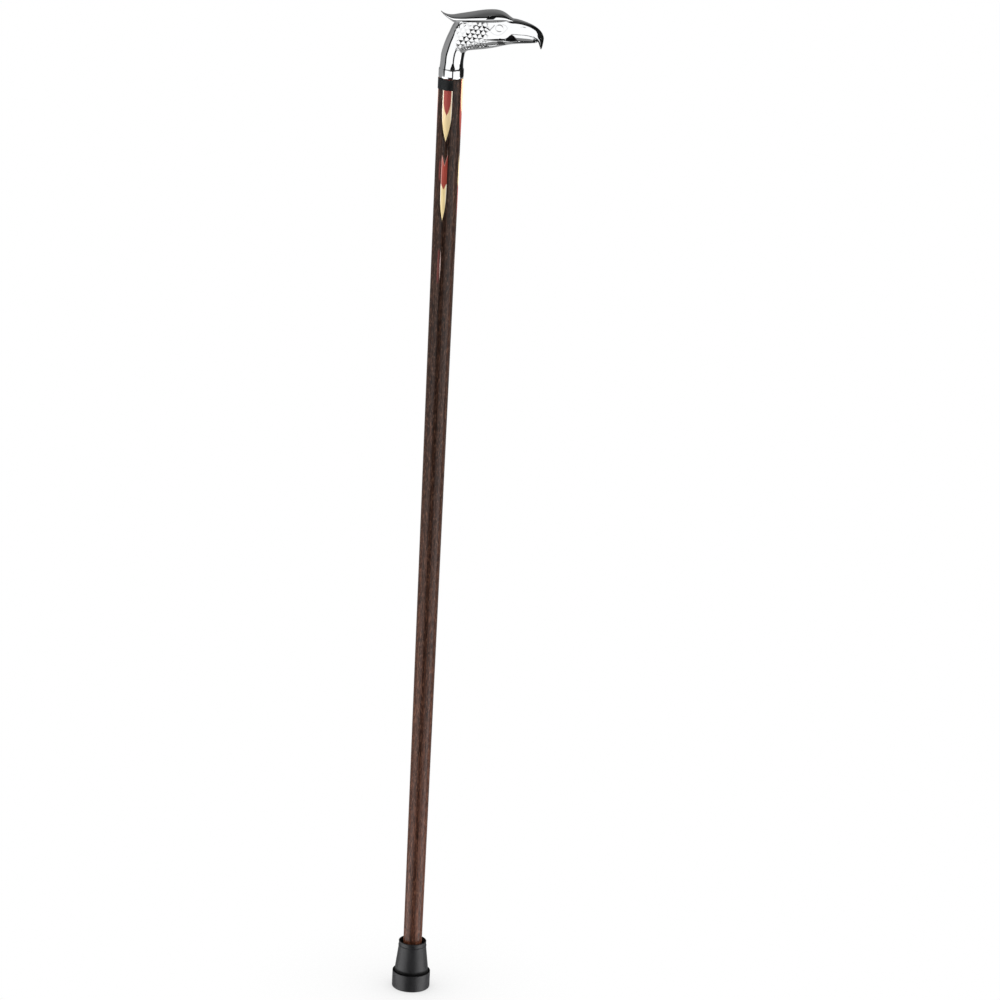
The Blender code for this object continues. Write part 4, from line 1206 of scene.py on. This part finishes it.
BEAK_CARD = ((-12.0, -28.0), (6.0, -28.0), (6.0, 0.0), (-12.0, 0.0))
JAW_CARD = ((-24.0, -15.0), (1.0, -15.0), (1.0, 0.0), (-24.0, 0.0))
CULMEN_CARD = ((50.0, 62.5), (100.0, 62.5), (100.0, 95.0), (56.0, 95.0))
SIDE_CARD = ((2.0, -60.0), (120.0, -60.0), (120.0, 866.0), (2.0, 866.0))
TIP_CARD = ((-130.0, -85.0), (130.0, -85.0), (130.0, 15.0), (-130.0, 15.0))


def card(name, outline, place, turn, glow=FLAG_GLOW):
    """A flat card with a place in millimetres, turned about Z by degrees. The camera sees past it."""
    side = math.radians(turn)
    points = np.array([
        (place[0] + a * math.cos(side), place[1] + a * math.sin(side), place[2] + b)
        for a, b in outline
    ])
    mesh = bpy.data.meshes.new(name)
    mesh.from_pydata((points * MM).tolist(), [], [tuple(range(len(points)))])
    glowing = {"Color": WHITE, "Strength": glow}
    material = wired(bpy.data.materials.new(name), lambda wire: wire.node("Emission", None, glowing))
    mesh.materials.append(material)
    made = shown(name, mesh)
    made.visible_camera = False
    made.visible_diffuse = False
    made.visible_shadow = False
    made.visible_transmission = False


# Dark cards between the camera and the neck make its dark middle line, which spreads out downwards.
# Others darken the middle of the shaft and parts of the beak. A grey one lights the shaft's right
# edge, and two bright ones light the sides of the tip.
card("line_card", LINE_CARD, (7.0, -34.0, 892.0), 12.0)
card("shaft_card", SHAFT_CARD, (-3.4, -34.0, 0.0), 0.0)
card("hook_card", HOOK_CARD, (76.3, -8.0, 925.0), 0.0)
card("inner_card", INNER_CARD, (73.2, 0.0, 914.3), 90.0)
card("beak_card", BEAK_CARD, (100.0, 0.0, 918.0), 90.0)
card("jaw_card", JAW_CARD, (47.5, 0.0, 911.0), 90.0, 0.05)
card("culmen_card", CULMEN_CARD, (0.0, -20.0, 880.3), 0.0)
card("side_card", SIDE_CARD, (40.0, 0.0, 0.0), 90.0, 0.30)
card("left_tip_card", TIP_CARD, (-297.0, -42.0, 0.0), -82.0, 2.6)
card("right_tip_card", TIP_CARD, (290.0, -78.0, 0.0), 75.0, 2.6)
card("fan_card", FAN_CARD, (1.9, -14.2, 890.0), 8.0)


# Lamps
# Two soft lamps stand to the left and right of the cane, and a weaker one hangs over it. Polished
# surfaces see the surroundings instead of them.

LAMP_SIZE = (1.0, 1.6)
LAMP_DISTANCE = 1.9
LAMP_HEIGHT = 0.85
LAMP_WATTS = 54.0
LAMP_TURNS = (-84.0, 84.0)
TOP_LAMP_SIZE = (2.0, 2.0)
TOP_LAMP_HEIGHT = 2.6
TOP_LAMP_WATTS = 14.0


def lamp(name, size, watts, place, facing):
    """A soft rectangular lamp that only matte surfaces show. Unturned it shines down."""
    data = bpy.data.lights.new(name, "AREA")
    data.shape = "RECTANGLE"
    data.size, data.size_y = size
    data.energy = watts
    made = shown(name, data)
    made.location = place
    made.rotation_euler = facing
    made.visible_glossy = False
    made.visible_camera = False


lamp("top_lamp", TOP_LAMP_SIZE, TOP_LAMP_WATTS, (0.0, 0.0, TOP_LAMP_HEIGHT), (0.0, 0.0, 0.0))
for degrees in LAMP_TURNS:
    side = math.radians(degrees)
    place = (LAMP_DISTANCE * math.sin(side), -LAMP_DISTANCE * math.cos(side), LAMP_HEIGHT)
    lamp("lamp", LAMP_SIZE, LAMP_WATTS, place, (math.radians(90), 0.0, side))

bpy.context.scene.view_settings.view_transform = "Standard"
